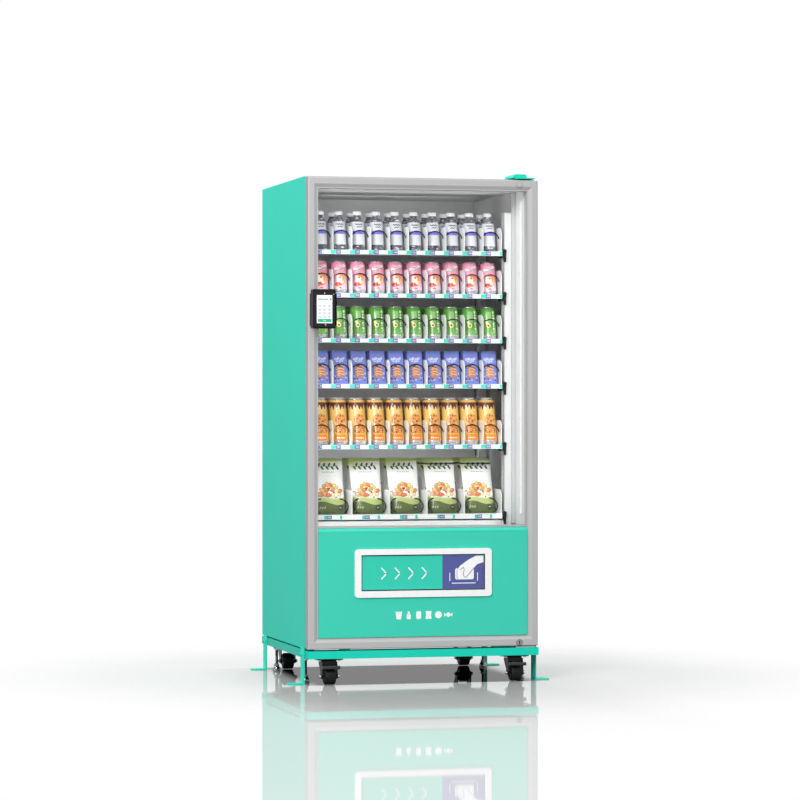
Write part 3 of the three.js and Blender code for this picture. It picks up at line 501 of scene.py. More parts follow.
def rounded(x0, x1, z0, z1, radius, steps=6):
    """The outline of a rectangle with round corners, anticlockwise."""
    if radius <= 0:
        return [(x0, z0), (x1, z0), (x1, z1), (x0, z1)]
    points = []
    corners = ((x1 - radius, z0 + radius, -90), (x1 - radius, z1 - radius, 0),
               (x0 + radius, z1 - radius, 90), (x0 + radius, z0 + radius, 180))
    for cx, cz, start in corners:
        for i in range(steps + 1):
            angle = math.radians(start + 90 * i / steps)
            points.append((cx + radius * math.cos(angle), cz + radius * math.sin(angle)))
    return points


def arc(cx, cz, radius, start, end, steps):
    """Points on a circle from one angle to another, in degrees."""
    return [
        (cx + radius * math.cos(math.radians(start + (end - start) * i / steps)),
         cz + radius * math.sin(math.radians(start + (end - start) * i / steps)))
        for i in range(steps + 1)
    ]


def soften(node, material, width=0.0, segments=2):
    """Gives a CAD node its finish and rounds its sharp edges."""
    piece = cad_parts[node]
    piece.data.materials.clear()
    piece.data.materials.append(material)
    if width:
        weld = piece.modifiers.new("weld", "WELD")
        weld.merge_threshold = 0.00002
        flat = piece.modifiers.new("flat_faces", "DECIMATE")
        flat.decimate_type = "DISSOLVE"
        flat.angle_limit = math.radians(1.0)
        bevel = add_bevel(piece, width, segments, 28)
        bevel.harden_normals = False
    return piece


def tails(ends=("front", "rear")):
    return [f"{end}_{side}" for end in ends for side in ("left", "right")]


# ------------------------------------------------------------------ CAD nodes that keep their shape
def dress_cad_nodes():
    # The side, top, back and floor panels take the darker teal copy, which is painted shade.
    for side in ("left", "right"):
        soften(f"side_panel_{side}", TEAL_SHADED_PANELS, 0.8)
    for node in ("top_panel", "back_panel", "rear_grille", "floor_panel"):
        soften(node, TEAL_SHADED_PANELS, 0.5)
    soften("base_frame", base_finish(), 1.2, 3)
    soften("hinge_cover", TEAL_BASE, 0.8)
    soften("upper_hinge_bracket", TEAL_BASE, 0.6)
    soften("lower_panel", TEAL, 0.6)
    for tail in tails():
        soften(f"anti_tip_bracket_{tail}", TEAL_BASE, 0.8)
    for node in ("lower_hinge_bracket", "control_box"):
        soften(node, ZINC, 0.6)
    soften("door_frame", door_frame_finish(), 0.7, 3)
    soften("flap_bezel", WHITE_PLASTIC, 1.2, 3)
    soften("door_gasket", GASKET, 1.5)
    soften("insulated_liner", LINER_WHITE, 1.5)
    soften("delivery_bin", GREY_PLASTIC, 1.0)
    soften("power_inlet", BLACK_PLASTIC, 0.8)
    soften("evaporator_unit", GREY_PLASTIC, 1.0)
    soften("condensing_unit", BLACK_PAINT, 1.0)
    for node in ("condenser_fan", "evaporator_fan"):
        soften(node, BLACK_PLASTIC, 0.5)
    soften("terminal_housing", HOUSING_BLACK, 1.0, 3)
    for tail in tails():
        soften(f"caster_fork_{tail}", BLACK_PAINT, 0.8)
    for side in ("left", "right"):
        soften(f"brake_pedal_{side}", PEDAL_BLACK, 1.0, 3)


# ------------------------------------------------------------------ undercarriage
def make_wheel(tail):
    low, high = box_mm(f"caster_wheel_{tail}")
    centre = (low + high) / 2
    half = (high.x - low.x) / 2
    radius = (high.z - low.z) / 2
    shoulder, hub = 7, 19
    edge = [(hub, -half + 1.5), (radius - 12, -half), (radius - shoulder, -half + 0.6)]
    for angle in (0.4, 0.8, 1.2, math.pi / 2):
        edge.append((radius - shoulder + shoulder * math.sin(angle),
                     -half + 0.6 + shoulder * (1 - math.cos(angle))))
    tread = Sketch()
    tread.lathe(edge + mirrored(edge), centre, "x", 48)
    made = tread.done(f"wheel_tread_{tail}", f"wheel_{tail}", RUBBER, "wheel_rubber")
    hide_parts(f"caster_wheel_{tail}")
    web = [(4.6, -half + 1), (8, -half + 1), (9, -half + 3), (14, -half + 5), (17, -half + 2),
           (hub + 0.4, -half + 1.6)]
    core = Sketch()
    core.lathe(web + mirrored(web), centre, "x", 36)
    core.done(f"wheel_hub_{tail}", f"wheel_{tail}", BLACK_PLASTIC, "black_plastic")


def mirrored(profile):
    """The other half of a (radius, height) profile that is the same on both sides of 0."""
    return [(radius, -height) for radius, height in profile[::-1]]


def facing(profile, side):
    """A (radius, height) profile turned round where the side is -1."""
    return [(radius, height * side) for radius, height in profile]


def make_caster_trim(tail):
    fork = box_mm(f"caster_fork_{tail}")
    wheel = box_mm(f"caster_wheel_{tail}")
    axle = (wheel[0] + wheel[1]) / 2
    swivel = (axle.x, axle.y + 25)
    nut_profile = [(0, -1), (7.5, -1), (7.5, 2), (6.6, 3), (4.5, 3.2), (4, 5.6), (2.5, 6.4), (0, 6.6)]
    trim = Sketch()
    for side, face in ((-1, fork[0].x), (1, fork[1].x)):
        trim.lathe(facing(nut_profile, side), (face, axle.y, axle.z), "x", 24)
    trim.done(f"axle_nuts_{tail}", f"fork_{tail}", CHROME, "chrome_steel")
    hood = Sketch()
    hood.box((fork[0].x + 8.6, fork[0].y + 8, 76.2), (fork[1].x - 8.6, fork[0].y + 63, 84.4))
    hood.done(f"fork_hood_{tail}", f"fork_{tail}", BLACK_PAINT, "black_paint", 1.0)
    race = Sketch()
    top = fork[1].z
    race.lathe([(0, -9), (31, -9), (33.5, -7), (33.5, -3.5), (30, -1.5), (26, -0.4), (0, -0.4)],
               (*swivel, top), "z", 40)
    race.done(f"swivel_race_{tail}", f"fork_{tail}", BLACK_PAINT, "black_paint", 0.5)
    bolts = Sketch()
    for dx in (-38, 38):
        for dy in (-30, 30):
            bolts.bolt((swivel[0] + dx, swivel[1] + dy, top - 3.9), "z", 5.5, 4)
    bolts.done(f"caster_bolts_{tail}", "cabinet", ZINC, "zinc_steel")


def make_levelling_foot(tail):
    low, high = box_mm(f"levelling_foot_{tail}")
    middle = (low + high) / 2
    ground = (middle.x, middle.y, low.z)
    length = high.z - low.z
    foot = Sketch()
    foot.lathe([(0, 0), (15, 0), (16, 1), (16, 2.6), (15, 3.6), (14.8, 6), (14.2, 10), (12.4, 14.5),
                (9.6, 17.8), (8, 19), (0, 19)], ground, "z", 40)
    foot.lathe([(0, 18.5), (9.4, 18.5), (10.4, 20), (10.4, 26.5), (9.4, 28), (0, 28)], ground, "z", 6)
    made = foot.done(f"foot_pad_{tail}", f"foot_{tail}", FOOT_CHROME_SHADED, "chrome_steel", 0.4)
    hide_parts(f"levelling_foot_{tail}")
    root, crest, pitch = 5.2, 6.0, 1.8
    height = 28.0
    thread = [(0, height)]
    while height < length - 2:
        thread += [(root, height), (crest, height + pitch / 2)]
        height += pitch
    thread += [(root, height), (4.6, length), (0, length)]
    rod = Sketch()
    rod.lathe(thread, ground, "z", 20)
    rod.done(f"foot_rod_{tail}", f"foot_{tail}", FOOT_CHROME_SHADED, "chrome_steel")
    lock_nut = Sketch()
    lock_nut.ring((middle.x, middle.y, 90), "z", 6.4, 10.6, -6, -0.4, 6)
    lock_nut.done(f"foot_lock_nut_{tail}", "cabinet", ZINC, "zinc_steel", 0.3)


def make_bracket_bolts(tail):
    low, high = box_mm(f"anti_tip_bracket_{tail}")
    side = -1 if tail.endswith("left") else 1
    face = (low.x if side > 0 else high.x) + side * 4
    depth = (low.y + high.y) / 2
    head = facing([(0, 0), (6.4, 0), (6.4, 3.6), (5.4, 4.6), (0, 4.6)], side)
    bolts = Sketch()
    for dy in (-17, 17):
        bolts.lathe(head, (face, depth + dy, 114), "x", 6)
    bolts.done(f"bracket_bolts_{tail}", "cabinet", TEAL_BASE, "teal_paint", 0.3)


def make_undercarriage():
    for tail in tails():
        make_wheel(tail)
        make_caster_trim(tail)
        make_levelling_foot(tail)
        make_bracket_bolts(tail)


# ------------------------------------------------------------------ spirals and trays
def coil_sketch(tray, x, hand=1):
    """One spiral, with its drive hub at the back."""
    sketch = Sketch()
    axis_z = FLOORS[tray] + COIL_LIFT[tray]
    start, end = COIL_FRONT, COIL_BACK
    turns = (end - start) / TURN_PITCH
    steps = int(turns * 26)
    points = []
    for i in range(steps + 1):
        angle = COIL_START[tray] + 2 * math.pi * turns * i / steps
        across, up = hand * COIL_RADIUS * math.cos(angle), COIL_RADIUS * math.sin(angle)
        points.append((x + across, start + (end - start) * i / steps, axis_z + up))
    sketch.tube(points, 2.4, 8)
    last = points[-1]
    bend = (x + (last[0] - x) * 0.4, end + 2, axis_z + (last[2] - axis_z) * 0.4)
    sketch.tube([last, bend, (x, end + 4, axis_z)], 2.2, 8)
    sketch.lathe([(0, 2), (5.2, 2), (5.4, 4), (5.4, 22), (0, 22)], (x, end, axis_z), "y", 16)
    return sketch


def repeat(piece, count, offset):
    """Copies a piece along X, or back along Y, a fixed step at a time."""
    rows = piece.modifiers.new("repeat", "ARRAY")
    rows.use_relative_offset = False
    rows.use_constant_offset = True
    rows.constant_offset_displace = [v * MM for v in offset]
    rows.count = count
    return piece


def make_coils(tray):
    moving = coil_sketch(tray, MOVING_X).done(
        f"spiral_{tray}_moving", f"coil_{tray}", WIRE_BLACK, "black_paint")
    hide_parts(f"coil_{tray}")
    if tray == BAG_TRAY:
        sets = [("left_hand", 0, 5, -1), ("right_hand_a", 1, 2, 1), ("right_hand_b", 7, 2, 1)]
        step = 2 * SLOT_PITCH
    else:
        sets = [("a", 0, MOVING_SLOT, 1), ("b", MOVING_SLOT + 1, 4, 1)]
        step = SLOT_PITCH
    for label, first, count, hand in sets:
        made = coil_sketch(tray, FIRST_X + first * SLOT_PITCH, hand).done(
            f"spirals_{tray}_{label}", f"tray_{tray}", WIRE_BLACK, "black_paint")
        repeat(made, count, (step, 0, 0))


def divider_outline(floor, radius=30):
    front, back = TRAY_FRONT + 4, MOTOR_WALL - 3
    top = floor + TRAY_SIDE
    return (
        [(front, floor - 1), (back, floor - 1), (back, floor + 74), (back - 60, top)]
        + arc(front + radius, top - radius, radius, 90, 180, 14)
    )


def make_tray(tray):
    floor = FLOORS[tray]
    body = f"tray_{tray}"
    lip = TRAY_BOXES[tray][0].z
    sheet = 2
    pan = Sketch()
    pan.prism([
        (TRAY_FRONT, lip), (TRAY_FRONT + sheet, lip), (TRAY_FRONT + sheet, floor - sheet - 1),
        (TRAY_BACK, floor - sheet - 1), (TRAY_BACK, floor - 0.6), (TRAY_FRONT + 1.5, floor - 0.6),
        (TRAY_FRONT, floor - 2),
    ], "x", TRAY_LEFT, TRAY_RIGHT)
    pan.box((TRAY_LEFT, MOTOR_WALL, floor - 1), (TRAY_RIGHT, MOTOR_WALL + sheet, floor + 74))
    pan.done(f"tray_pan_{tray}", body, TRAY_WHITE, "white_paint", 0.5)
    step = 2 if tray == BAG_TRAY else 1
    inner_edges = [FIRST_X + (i - 0.5) * SLOT_PITCH - sheet / 2 for i in range(step, len(SLOTS), step)]
    plates = Sketch()
    for x in [TRAY_LEFT, TRAY_RIGHT - sheet] + inner_edges:
        plates.prism(divider_outline(floor), "x", x, x + sheet)
        if x in inner_edges:
            plates.box((x - 5, TRAY_FRONT + 30, floor - 0.7), (x + 7, 690, floor + 0.5))
    made = plates.done(f"tray_dividers_{tray}", body, TRAY_WHITE, "white_paint", 0.5)
    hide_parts(body)
    motors = Sketch()
    for i in SLOTS:
        x = FIRST_X + i * SLOT_PITCH
        motors.box((x - 24, MOTOR_WALL + 3, floor + 14), (x + 24, TRAY_BACK - 1, floor + 60))
        collar = [(8, -6), (9, -4), (9, 1), (8, 3)]
        motors.lathe(collar, (x, MOTOR_WALL, floor + COIL_LIFT[tray]), "y", 20)
    motors.done(f"tray_motors_{tray}", body, WHITE_PLASTIC, "white_plastic", 1.0)
    make_latch(tray)


def make_latch(tray):
    """The black catch at a tray's front right corner."""
    floor = FLOORS[tray]
    x, front = TRAY_RIGHT, TRAY_FRONT - 1
    latch = Sketch()
    latch.box((x, front + 2, floor - 26), (x + 3, front + 60, floor - 2))
    lever = [(2, -12), (6, -38), (5, -42), (15, -42), (15.5, -10)]
    outline = arc(x + 9.5, floor + 1, 8, 0, 180, 10) + [(x + dx, floor + dz) for dx, dz in lever]
    latch.prism(outline, "y", front - 4, front + 3)
    latch.disc((x + 9.5, front - 4, floor), 3.4, 1.5, 16)
    latch.done(f"tray_latch_{tray}", f"tray_{tray}", BLACK_PLASTIC, "black_plastic", 0.6)


# ------------------------------------------------------------------ price rails
RAIL_TEAL = moulded("rail_teal", srgb(70, 208, 186), 0.4, 0.05)
RAIL_PURPLE = moulded("rail_purple", srgb(112, 118, 176), 0.4, 0.05)
RAIL_WHITE = moulded("rail_white", srgb(250, 250, 250), 0.35, 0.05)
RAIL_MATERIALS = [RAIL_WHITE, RAIL_TEAL, RAIL_PURPLE]


def make_price_rail(tray):
    floor = FLOORS[tray]
    body = f"tray_{tray}"
    bottom, top = TRAY_BOXES[tray][0].z + 0.6, floor - 0.8
    face = TRAY_FRONT - 2.4
    teal, purple = 1, 2
    rail = Sketch()
    rail.box((TRAY_LEFT + 0.5, face, bottom), (TRAY_RIGHT - 0.5, TRAY_FRONT - 0.2, top))
    figures = Sketch()

    def label(x0, x1, paint, z0, z1):
        left, right = max(x0, TRAY_LEFT + 1), min(x1, TRAY_RIGHT - 1)
        if right - left > 1:
            rail.paint = paint
            rail.plate(left, right, z0, z1, face, 0.25)

    if tray == BAG_TRAY:
        z0, z1 = bottom + 1.8, top - 2.2
        for channel in range(len(SLOTS) // 2):
            x = FIRST_X + (2 * channel + 0.5) * SLOT_PITCH
            label(x - 36.8, x - 27.4, teal, z0, z1)
            label(x - 27.4, x - 7, purple, z0, z1)
            label(x + 24.6, x + 34.2, teal, z0, z1)
            label(x - 7, x + 24.6, teal, z1 - 0.8, z1)
            label(x - 7, x + 24.6, teal, z0, z0 + 0.8)
            add_figures(figures, f"{tray}{2 * channel:02d}", x - 17, face, (z0 + z1) / 2)
    else:
        z0, z1 = bottom + 0.8, top - 0.8
        for i in range(len(SLOTS) + 1):
            x = FIRST_X - 48 + i * SLOT_PITCH
            label(x, x + 20, teal, z0, z1)
            label(x + 20, x + 40, purple, z0, z1)
            label(x + 40, x + SLOT_PITCH, teal, z0 - 0.4, z0 + 0.7)
            label(x + 40, x + SLOT_PITCH, teal, z1 - 0.7, z1 + 0.4)
            if i in SLOTS:
                add_figures(figures, f"{tray}{i:02d}", max(x, TRAY_LEFT) + 30, face, (bottom + top) / 2)
    rail.done(f"price_rail_{tray}", body, RAIL_MATERIALS, "white_plastic")
    figures.done(f"rail_figures_{tray}", body, PRINT_WHITE, "white_plastic")


def add_figures(sketch, text, x, face, z, size=9):
    """Adds small figures just proud of a face, centred on x and z."""
    curve = bpy.data.curves.new("figures", "FONT")
    curve.body = text
    curve.size = size
    curve.align_x = "CENTER"
    curve.align_y = "CENTER"
    curve.resolution_u = 2
    holder = bpy.data.objects.new("figures", curve)
    bpy.context.scene.collection.objects.link(holder)
    bpy.context.view_layer.update()
    flat = bpy.data.meshes.new_from_object(holder)
    for polygon in flat.polygons:
        corners = [flat.vertices[i].co for i in polygon.vertices]
        sketch.face([sketch.mesh.verts.new((x + c.x, face - 0.35, z + c.y)) for c in corners])
    bpy.data.objects.remove(holder)
    bpy.data.curves.remove(curve)
    bpy.data.meshes.remove(flat)


# ------------------------------------------------------------------ printed packs
class Print(Finish):
    """Artwork painted in layers, in 0 to 255 colours. u runs round the pack and v up it, in millimetres."""

    def __init__(self, name, color, roughness=0.35, coat=0.3, bend=None):
        super().__init__(name, srgb(*color), roughness, coat=coat)
        self.label = self.node("ShaderNodeUVMap", uv_map="Label").outputs[0]
        self.u, self.v, _ = self.split(self.label)
        self.bent = self.wobble(*bend) if bend else (self.u, self.v)

    def wobble(self, amount, scale):
        """The coordinates bent a little, for edges drawn by hand."""
        noise = self.node("ShaderNodeTexNoise", Scale=scale, Detail=1.5)
        self.link(self.label, noise.inputs["Vector"])
        split = self.node("ShaderNodeSeparateColor")
        self.link(noise.outputs["Color"], split.inputs[0])
        du = self.remap(split.outputs[0], 0.3, 0.7, -amount, amount)
        dv = self.remap(split.outputs[1], 0.3, 0.7, -amount, amount)
        return self.plus(self.u, du), self.plus(self.v, dv)

    def wave(self, rate, height):
        return self.times(self.math("SINE", self.times(self.u, rate)), height)

    def step(self, value, low, high):
        """1 where the value lies between low and high, with a thin soft edge."""
        rise = self.remap(value, low - 0.3, low + 0.3, 0, 1)
        fall = self.remap(value, high - 0.3, high + 0.3, 1, 0)
        return self.times(rise, fall)

    def shade(self, value, low, high, amount, color):
        """Fades a colour in from low to high, up to an amount."""
        self.layer(self.remap(value, low, high, 0, amount), srgb(*color))

    def band(self, low, high, color):
        self.layer(self.step(self.v, low, high), srgb(*color))

    def block(self, u0, u1, low, high, color, value=None):
        """A rectangle, or part of a wavy band where a value is given for its height."""
        mask = self.times(self.step(self.u, u0, u1), self.step(value or self.v, low, high))
        self.layer(mask, srgb(*color))

    def oval_mask(self, cu, cv, ru, rv, turn=0.0, crisp=False):
        u, v = (self.u, self.v) if crisp else self.bent
        du, dv = self.minus(u, cu), self.minus(v, cv)
        c, s = math.cos(math.radians(turn)), math.sin(math.radians(turn))
        a = self.plus(self.times(du, c / ru), self.times(dv, s / ru))
        b = self.minus(self.times(dv, c / rv), self.times(du, s / rv))
        reach = self.plus(self.times(a, a), self.times(b, b))
        return self.remap(reach, 0.94, 1.06, 1, 0)

    def oval(self, cu, cv, ru, rv, color, turn=0.0, crisp=False):
        self.layer(self.oval_mask(cu, cv, ru, rv, turn, crisp), srgb(*color))

    def ovals(self, *shapes):
        """Ovals given as (u, v, half width, half height, turn, colour), each over the last."""
        for u, v, ru, rv, turn, color in shapes:
            self.oval(u, v, ru, rv, color, turn)

    def spots(self, within, scale, cover, color, seed):
        """Irregular spots inside a mask. cover is the share of the area that they take."""
        cells = self.node("ShaderNodeTexVoronoi", Scale=scale)
        shift = self.node("ShaderNodeVectorMath", operation="ADD")
        self.link(self.label, shift.inputs[0])
        shift.inputs[1].default_value = (seed, seed * 1.7, 0)
        self.link(shift.outputs[0], cells.inputs["Vector"])
        near = self.remap(cells.outputs["Distance"], cover - 0.05, cover + 0.05, 1, 0)
        self.layer(self.times(near, within), srgb(*color))


def bottle_label():
    art = Print("bottle_label", (216, 217, 222), 0.45, 0.05)
    art.band(62, 75, (118, 112, 216))
    waving = art.plus(art.v, art.wave(0.62, 1.7))
    for v, half, thick in ((100, 15, 2.4), (90.5, 10, 2.0)):
        art.block(-half, half, v - thick, v + thick, (92, 94, 104), waving)
    # Painted shade: the label greys towards the right, where the bottle turns away from the light.
    art.shade(art.u, 8, 34, 0.4, (176, 178, 190))
    return art.material


def blossom_can():
    art = Print("blossom_can_print", (234, 150, 182), 0.35, 0.3, (2.2, 0.09))
    art.shade(art.v, 62, 28, 1.0, (244, 212, 230))
    cream, ribbon_turn = (252, 242, 226), 17
    art.ovals(
        (2, 54, 19, 21, 0, (250, 186, 130)),
        (0, 60, 16, 15, 20, (248, 150, 84)),
        (-7, 55, 12.5, 13.5, 0, cream),
        (1, 42, 8, 8, 0, (252, 238, 214)),
        (-4, 62, 4.2, 4.6, 30, (186, 108, 50)),
        (-13, 35, 12, 8, 18, (206, 44, 34)),
        (-6, 31, 13, 4.5, 12, (238, 110, 56)),
        (14, 44, 6, 9, 0, (250, 190, 140)),
        (15, 67, 8, 3.4, -25, (244, 140, 66)),
        (0, 99, 27, 8.0, ribbon_turn, (250, 226, 232)),
        (3, 94, 24, 2.6, ribbon_turn, (110, 184, 140)),
        (-4, 102, 17, 1.8, ribbon_turn, (224, 96, 118)),
        (0, 98, 17, 1.2, ribbon_turn, (236, 160, 180)),
        (-5, 20, 9, 2.0, 0, (228, 90, 120)),
    )
    return art.material


def fruit_can():
    art = Print("fruit_can_print", (86, 152, 52), 0.3, 0.5, (1.2, 0.05))
    art.shade(art.v, 52, 22, 0.55, (128, 190, 96))
    # Painted highlight: a lighter vertical band on the can's front.
    art.block(-11, 5, 62, 106, (136, 186, 112))
    art.ovals(
        (17, 30, 4.2, 9, -32, (166, 208, 140)),
        (-8, 52, 9.6, 11.4, 0, (56, 118, 38)),
        (-14, 63, 4.2, 6.4, 32, (246, 240, 160)),
        (-8, 52, 8.8, 10.4, 0, (248, 240, 150)),
        (-8, 51, 6.6, 7.6, 0, (244, 222, 130)),
        (-7.5, 51.5, 4.8, 5.4, 0, (160, 56, 84)),
    )
    for v, size in ((40, 4.6), (51, 3.0), (60, 4.2), (71, 2.6), (80, 4.8), (92, 3.4), (103, 4.6)):
        art.oval(15.5 + (v - 70) * 0.03, v, size, size, (240, 248, 234))
    return art.material


def biscuit_carton():
    art = Print("biscuit_carton_print", (120, 134, 210), 0.5, 0.1, (1.0, 0.12))
    art.band(118, 140, (108, 122, 198))
    rings = ((-16, 96, 4.6), (-6, 98, 5.2), (5, 96, 4.4), (15, 98, 5.0),
             (-11, 88, 4.0), (0, 87, 4.6), (10, 88, 4.0))
    for u, v, size in rings:
        art.oval(u, v, size, size, (222, 223, 246))
        art.oval(u, v + 0.6, size * 0.36, size * 0.36, (96, 108, 188))
    for v in (62, 51, 40, 31):
        art.ovals(
            (1, v + 2, 16, 7.2, 0, (246, 206, 160)),
            (1, v, 16, 6.2, 0, (204, 128, 84)),
            (-5, v + 1, 4, 2.2, 0, (238, 180, 120)),
        )
    art.oval(-3, 69, 7, 3, (70, 44, 92), 10)
    art.oval(8, 66, 3.5, 2.2, (60, 40, 84))
    for u, v in ((-21, 30), (20, 24), (-12, 14), (23, 40), (-20, 12)):
        art.oval(u, v, 1.8, 3.2, (226, 224, 130), 30)
    for u, v in ((-22, 20), (21, 14), (-8, 19), (24, 31)):
        art.oval(u, v, 3.4, 2.6, (44, 52, 110), -20)
    art.block(-5, 5, 14, 17, (206, 210, 240))
    return art.material


def cookie_can():
    art = Print("cookie_can_print", (236, 200, 118), 0.35, 0.25, (1.8, 0.07))
    # Painted shade: the can darkens towards both sides, most towards the right, where it turns away from the
    # light.
    art.shade(art.u, 6, 34, 0.8, (214, 160, 60))
    art.shade(art.u, -12, -36, 0.5, (230, 180, 84))
    for u, v, ru, rv in ((0, 97, 22, 22), (1, 60, 25, 20)):
        mask = art.oval_mask(u, v, ru, rv)
        art.layer(mask, srgb(222, 134, 50))
        art.spots(mask, 0.16, 0.42, (240, 176, 98), u)
        art.spots(mask, 0.11, 0.3, (190, 94, 30), u + 5)
        art.spots(mask, 0.085, 0.26, (62, 34, 26), u + 11)
    hanging = art.plus(art.plus(art.v, art.wave(0.44, 7.0)), art.wave(0.17, 4.0))
    art.layer(art.step(hanging, 141, 190), srgb(252, 236, 190))
    art.layer(art.step(hanging, 143.5, 190), srgb(104, 34, 30))
    art.band(163, 182, (246, 206, 110))
    art.band(10, 43, (248, 192, 62))
    badge = (244, 134, 36)
    art.block(-20, 20, 14, 39, badge)
    art.oval(-20, 26.5, 4, 12.5, badge, crisp=True)
    art.oval(20, 26.5, 4, 12.5, badge, crisp=True)
    for n in range(5):
        art.oval((n - 2) * 7.2, 26, 2.6, 2.6, (252, 240, 220), crisp=True)
    return art.material


def nut(art, u, v, ru, rv, turn, color):
    """A nut with a dark edge and a light patch."""
    red, green, blue = color
    light = (min(red + 24, 255), min(green + 34, 255), min(blue + 44, 255))
    art.ovals(
        (u, v, ru, rv, turn, (136, 84, 46)),
        (u, v, ru * 0.88, rv * 0.86, turn, color),
        (u - ru * 0.2, v + rv * 0.3, ru * 0.36, rv * 0.28, turn, light),
    )


def nut_bag():
    art = Print("nut_bag_print", (252, 252, 250), 0.36, 0.15, (1.6, 0.06))
    art.shade(art.minus(art.v, art.times(art.u, 0.25)), 168, 218, 1, (172, 186, 98))
    art.band(206, 216, (160, 174, 96))
    art.shade(art.plus(art.v, art.wave(0.05, 3.0)), 72, 58, 1, (178, 192, 116))
    art.shade(art.plus(art.v, art.wave(0.05, 7.0)), 43, 41.5, 1, (84, 98, 50))
    art.shade(art.minus(art.v, art.wave(0.05, 5.0)), 12, 10.5, 1, (72, 88, 42))
    for shape in (
        (-40, 76, 12, 9, -10, (214, 140, 104)), (-20, 79, 13, 10, 12, (224, 152, 84)),
        (-6, 73, 13, 8, 0, (226, 104, 62)), (12, 75, 8, 8, 0, (246, 222, 170)),
        (26, 75, 8, 8, 0, (250, 238, 210)), (40, 77, 9, 8, 0, (240, 214, 160)),
        (-30, 92, 12, 9, -14, (232, 176, 92)), (-12, 94, 10, 8, 20, (206, 128, 60)),
        (42, 90, 11, 9, 20, (222, 138, 76)), (28, 92, 9, 7, -20, (246, 216, 150)),
        (14, 96, 9, 7, 0, (226, 150, 80)), (-22, 108, 8, 10, -30, (214, 156, 70)),
        (-8, 116, 9, 9, 10, (230, 176, 90)), (6, 112, 7, 10, 25, (224, 122, 52)),
        (20, 110, 8, 9, -20, (240, 214, 110)), (30, 104, 7, 7, 10, (238, 196, 130)),
        (-2, 104, 8, 6, 30, (236, 186, 110)), (-52, 86, 6, 3.4, 30, (120, 172, 58)),
    ):
        nut(art, *shape)
    berry, leaf_green = (196, 34, 36), (34, 76, 62)
    art.ovals(
        (-4, 99, 6.4, 4.4, 10, berry),
        (16, 85, 5.2, 3.4, -20, berry),
        (6, 90, 8.0, 3.0, -24, (116, 168, 52)),
        (24, 66, 4, 2.6, 20, (170, 50, 40)),
    )
    art.block(-43, 43, 184.4, 186.4, leaf_green, art.plus(art.v, art.wave(0.14, 2.0)))
    for n in range(9):
        rise = 1 if n % 2 else -1
        art.oval((n - 4) * 10.2, 185.5 + rise * 6.5, 3.9, 8.2, leaf_green, rise * -34, crisp=True)
    for n in range(7):
        art.oval((n - 3) * 7.4, 163, 1.7, 1.7, (48, 92, 74), crisp=True)
    art.oval(38, 25, 11, 11, (40, 58, 50), crisp=True)
    art.oval(38, 25, 6, 2, (170, 184, 160), crisp=True)
    for n in range(3):
        art.oval(-42 + n * 9, 25, 2.4, 5.4, (172, 188, 128), -30, crisp=True)
    return art.material


CAN_METAL = metal("can_aluminium", srgb(206, 208, 212), 0.25)
CAP_WHITE = moulded("cap_white", srgb(248, 248, 248), 0.35, 0.1)


def bottle_plastic():
    """Clear plastic full of water, drawn grey with dark and bright streaks, which are painted reflections
    and refractions.
    """
    made = Finish("bottle_plastic", srgb(112, 114, 122), 0.12, 0.0, 0.5)
    streaks = made.noise(34.0, 3.0, stretch=(2.2, 2.2, 0.35))
    shade = made.remap(streaks, 0.38, 0.62, 0, 1)
    made.layer(shade, srgb(70, 72, 82))
    made.layer(made.remap(made.noise(60.0, 2.0, stretch=(1, 1, 3)), 0.56, 0.68, 0, 1), srgb(226, 228, 234))
    made.bump(made.noise(120.0, 2.0, stretch=(1, 1, 2.5)), 0.3, 0.0015)
    return made.material


def bottle(sketch, x, depth, z):
    r = 24.5
    plastic, label, cap_white = 0, 1, 2
    body = [(0, 1), (14, 0), (21, 0.8), (r - 0.6, 4), (r, 9), (r - 1.2, 12), (r, 15), (r - 1.0, 18),
            (r, 21), (r - 0.4, 21.5), (0, 21.5)]
    wrap = [(0, 21.2), (r + 0.15, 21.2), (r + 0.15, 107), (r - 2, 111), (0, 111)]
    neck = [(0, 110.5), (r - 1.8, 110.5), (r - 2.6, 116), (r - 6, 123), (r - 9, 127.5), (14.4, 130),
            (13.6, 134), (15, 135), (15, 137), (0, 137)]
    cap = [(0, 136.4), (16.2, 136.4), (17, 137.2), (17, 147.6), (16, 150.4), (12.6, 151.4), (0, 151.4)]
    parts = ((body, plastic, 30), (wrap, label, 30), (neck, plastic, 30), (cap, cap_white, 40))
    for profile, paint, steps in parts:
        sketch.lathe(profile, (x, depth, z), steps=steps, paints=[paint] * (len(profile) - 1))


def can(radius, height, lid=0.0):
    """A drinks can; the taller snack can has a narrower white lid on it, whose white is a painted highlight
    on a metal lid.
    """
    neck = radius - 4.2
    lower = [(0, 3), (radius - 10, 1.4), (radius - 6.5, 0), (radius - 4.5, 0.4), (radius - 2, 5),
             (radius - 0.5, 10), (radius, 15)]
    upper = [(radius, height - 15), (radius - 1, height - 10), (neck + 0.6, height - 4.4)]
    rim = [(neck + 0.6, height - 3.6), (neck + 0.9, height - 0.8), (neck, height),
           (neck - 1.4, height - 0.6), (neck - 2, height - 3.2)]
    if lid:
        rim += [(neck - 3, height - 1.4), (neck - 3.4, height + lid - 1.6), (neck - 5, height + lid),
                (0, height + lid)]
    else:
        rim += [(neck - 5, height - 4.2), (0, height - 3.8)]
    profile = lower + upper + rim
    metal_paint, print_paint, lid_highlight_paint = 0, 1, 2
    paints = [metal_paint] * (len(lower) - 1) + [print_paint] * len(upper) + [metal_paint] * 5
    paints += [lid_highlight_paint if lid else metal_paint] * 4

    def draw(sketch, x, depth, z):
        sketch.lathe(profile, (x, depth, z), steps=32, paints=paints[:len(profile) - 1])

    return draw


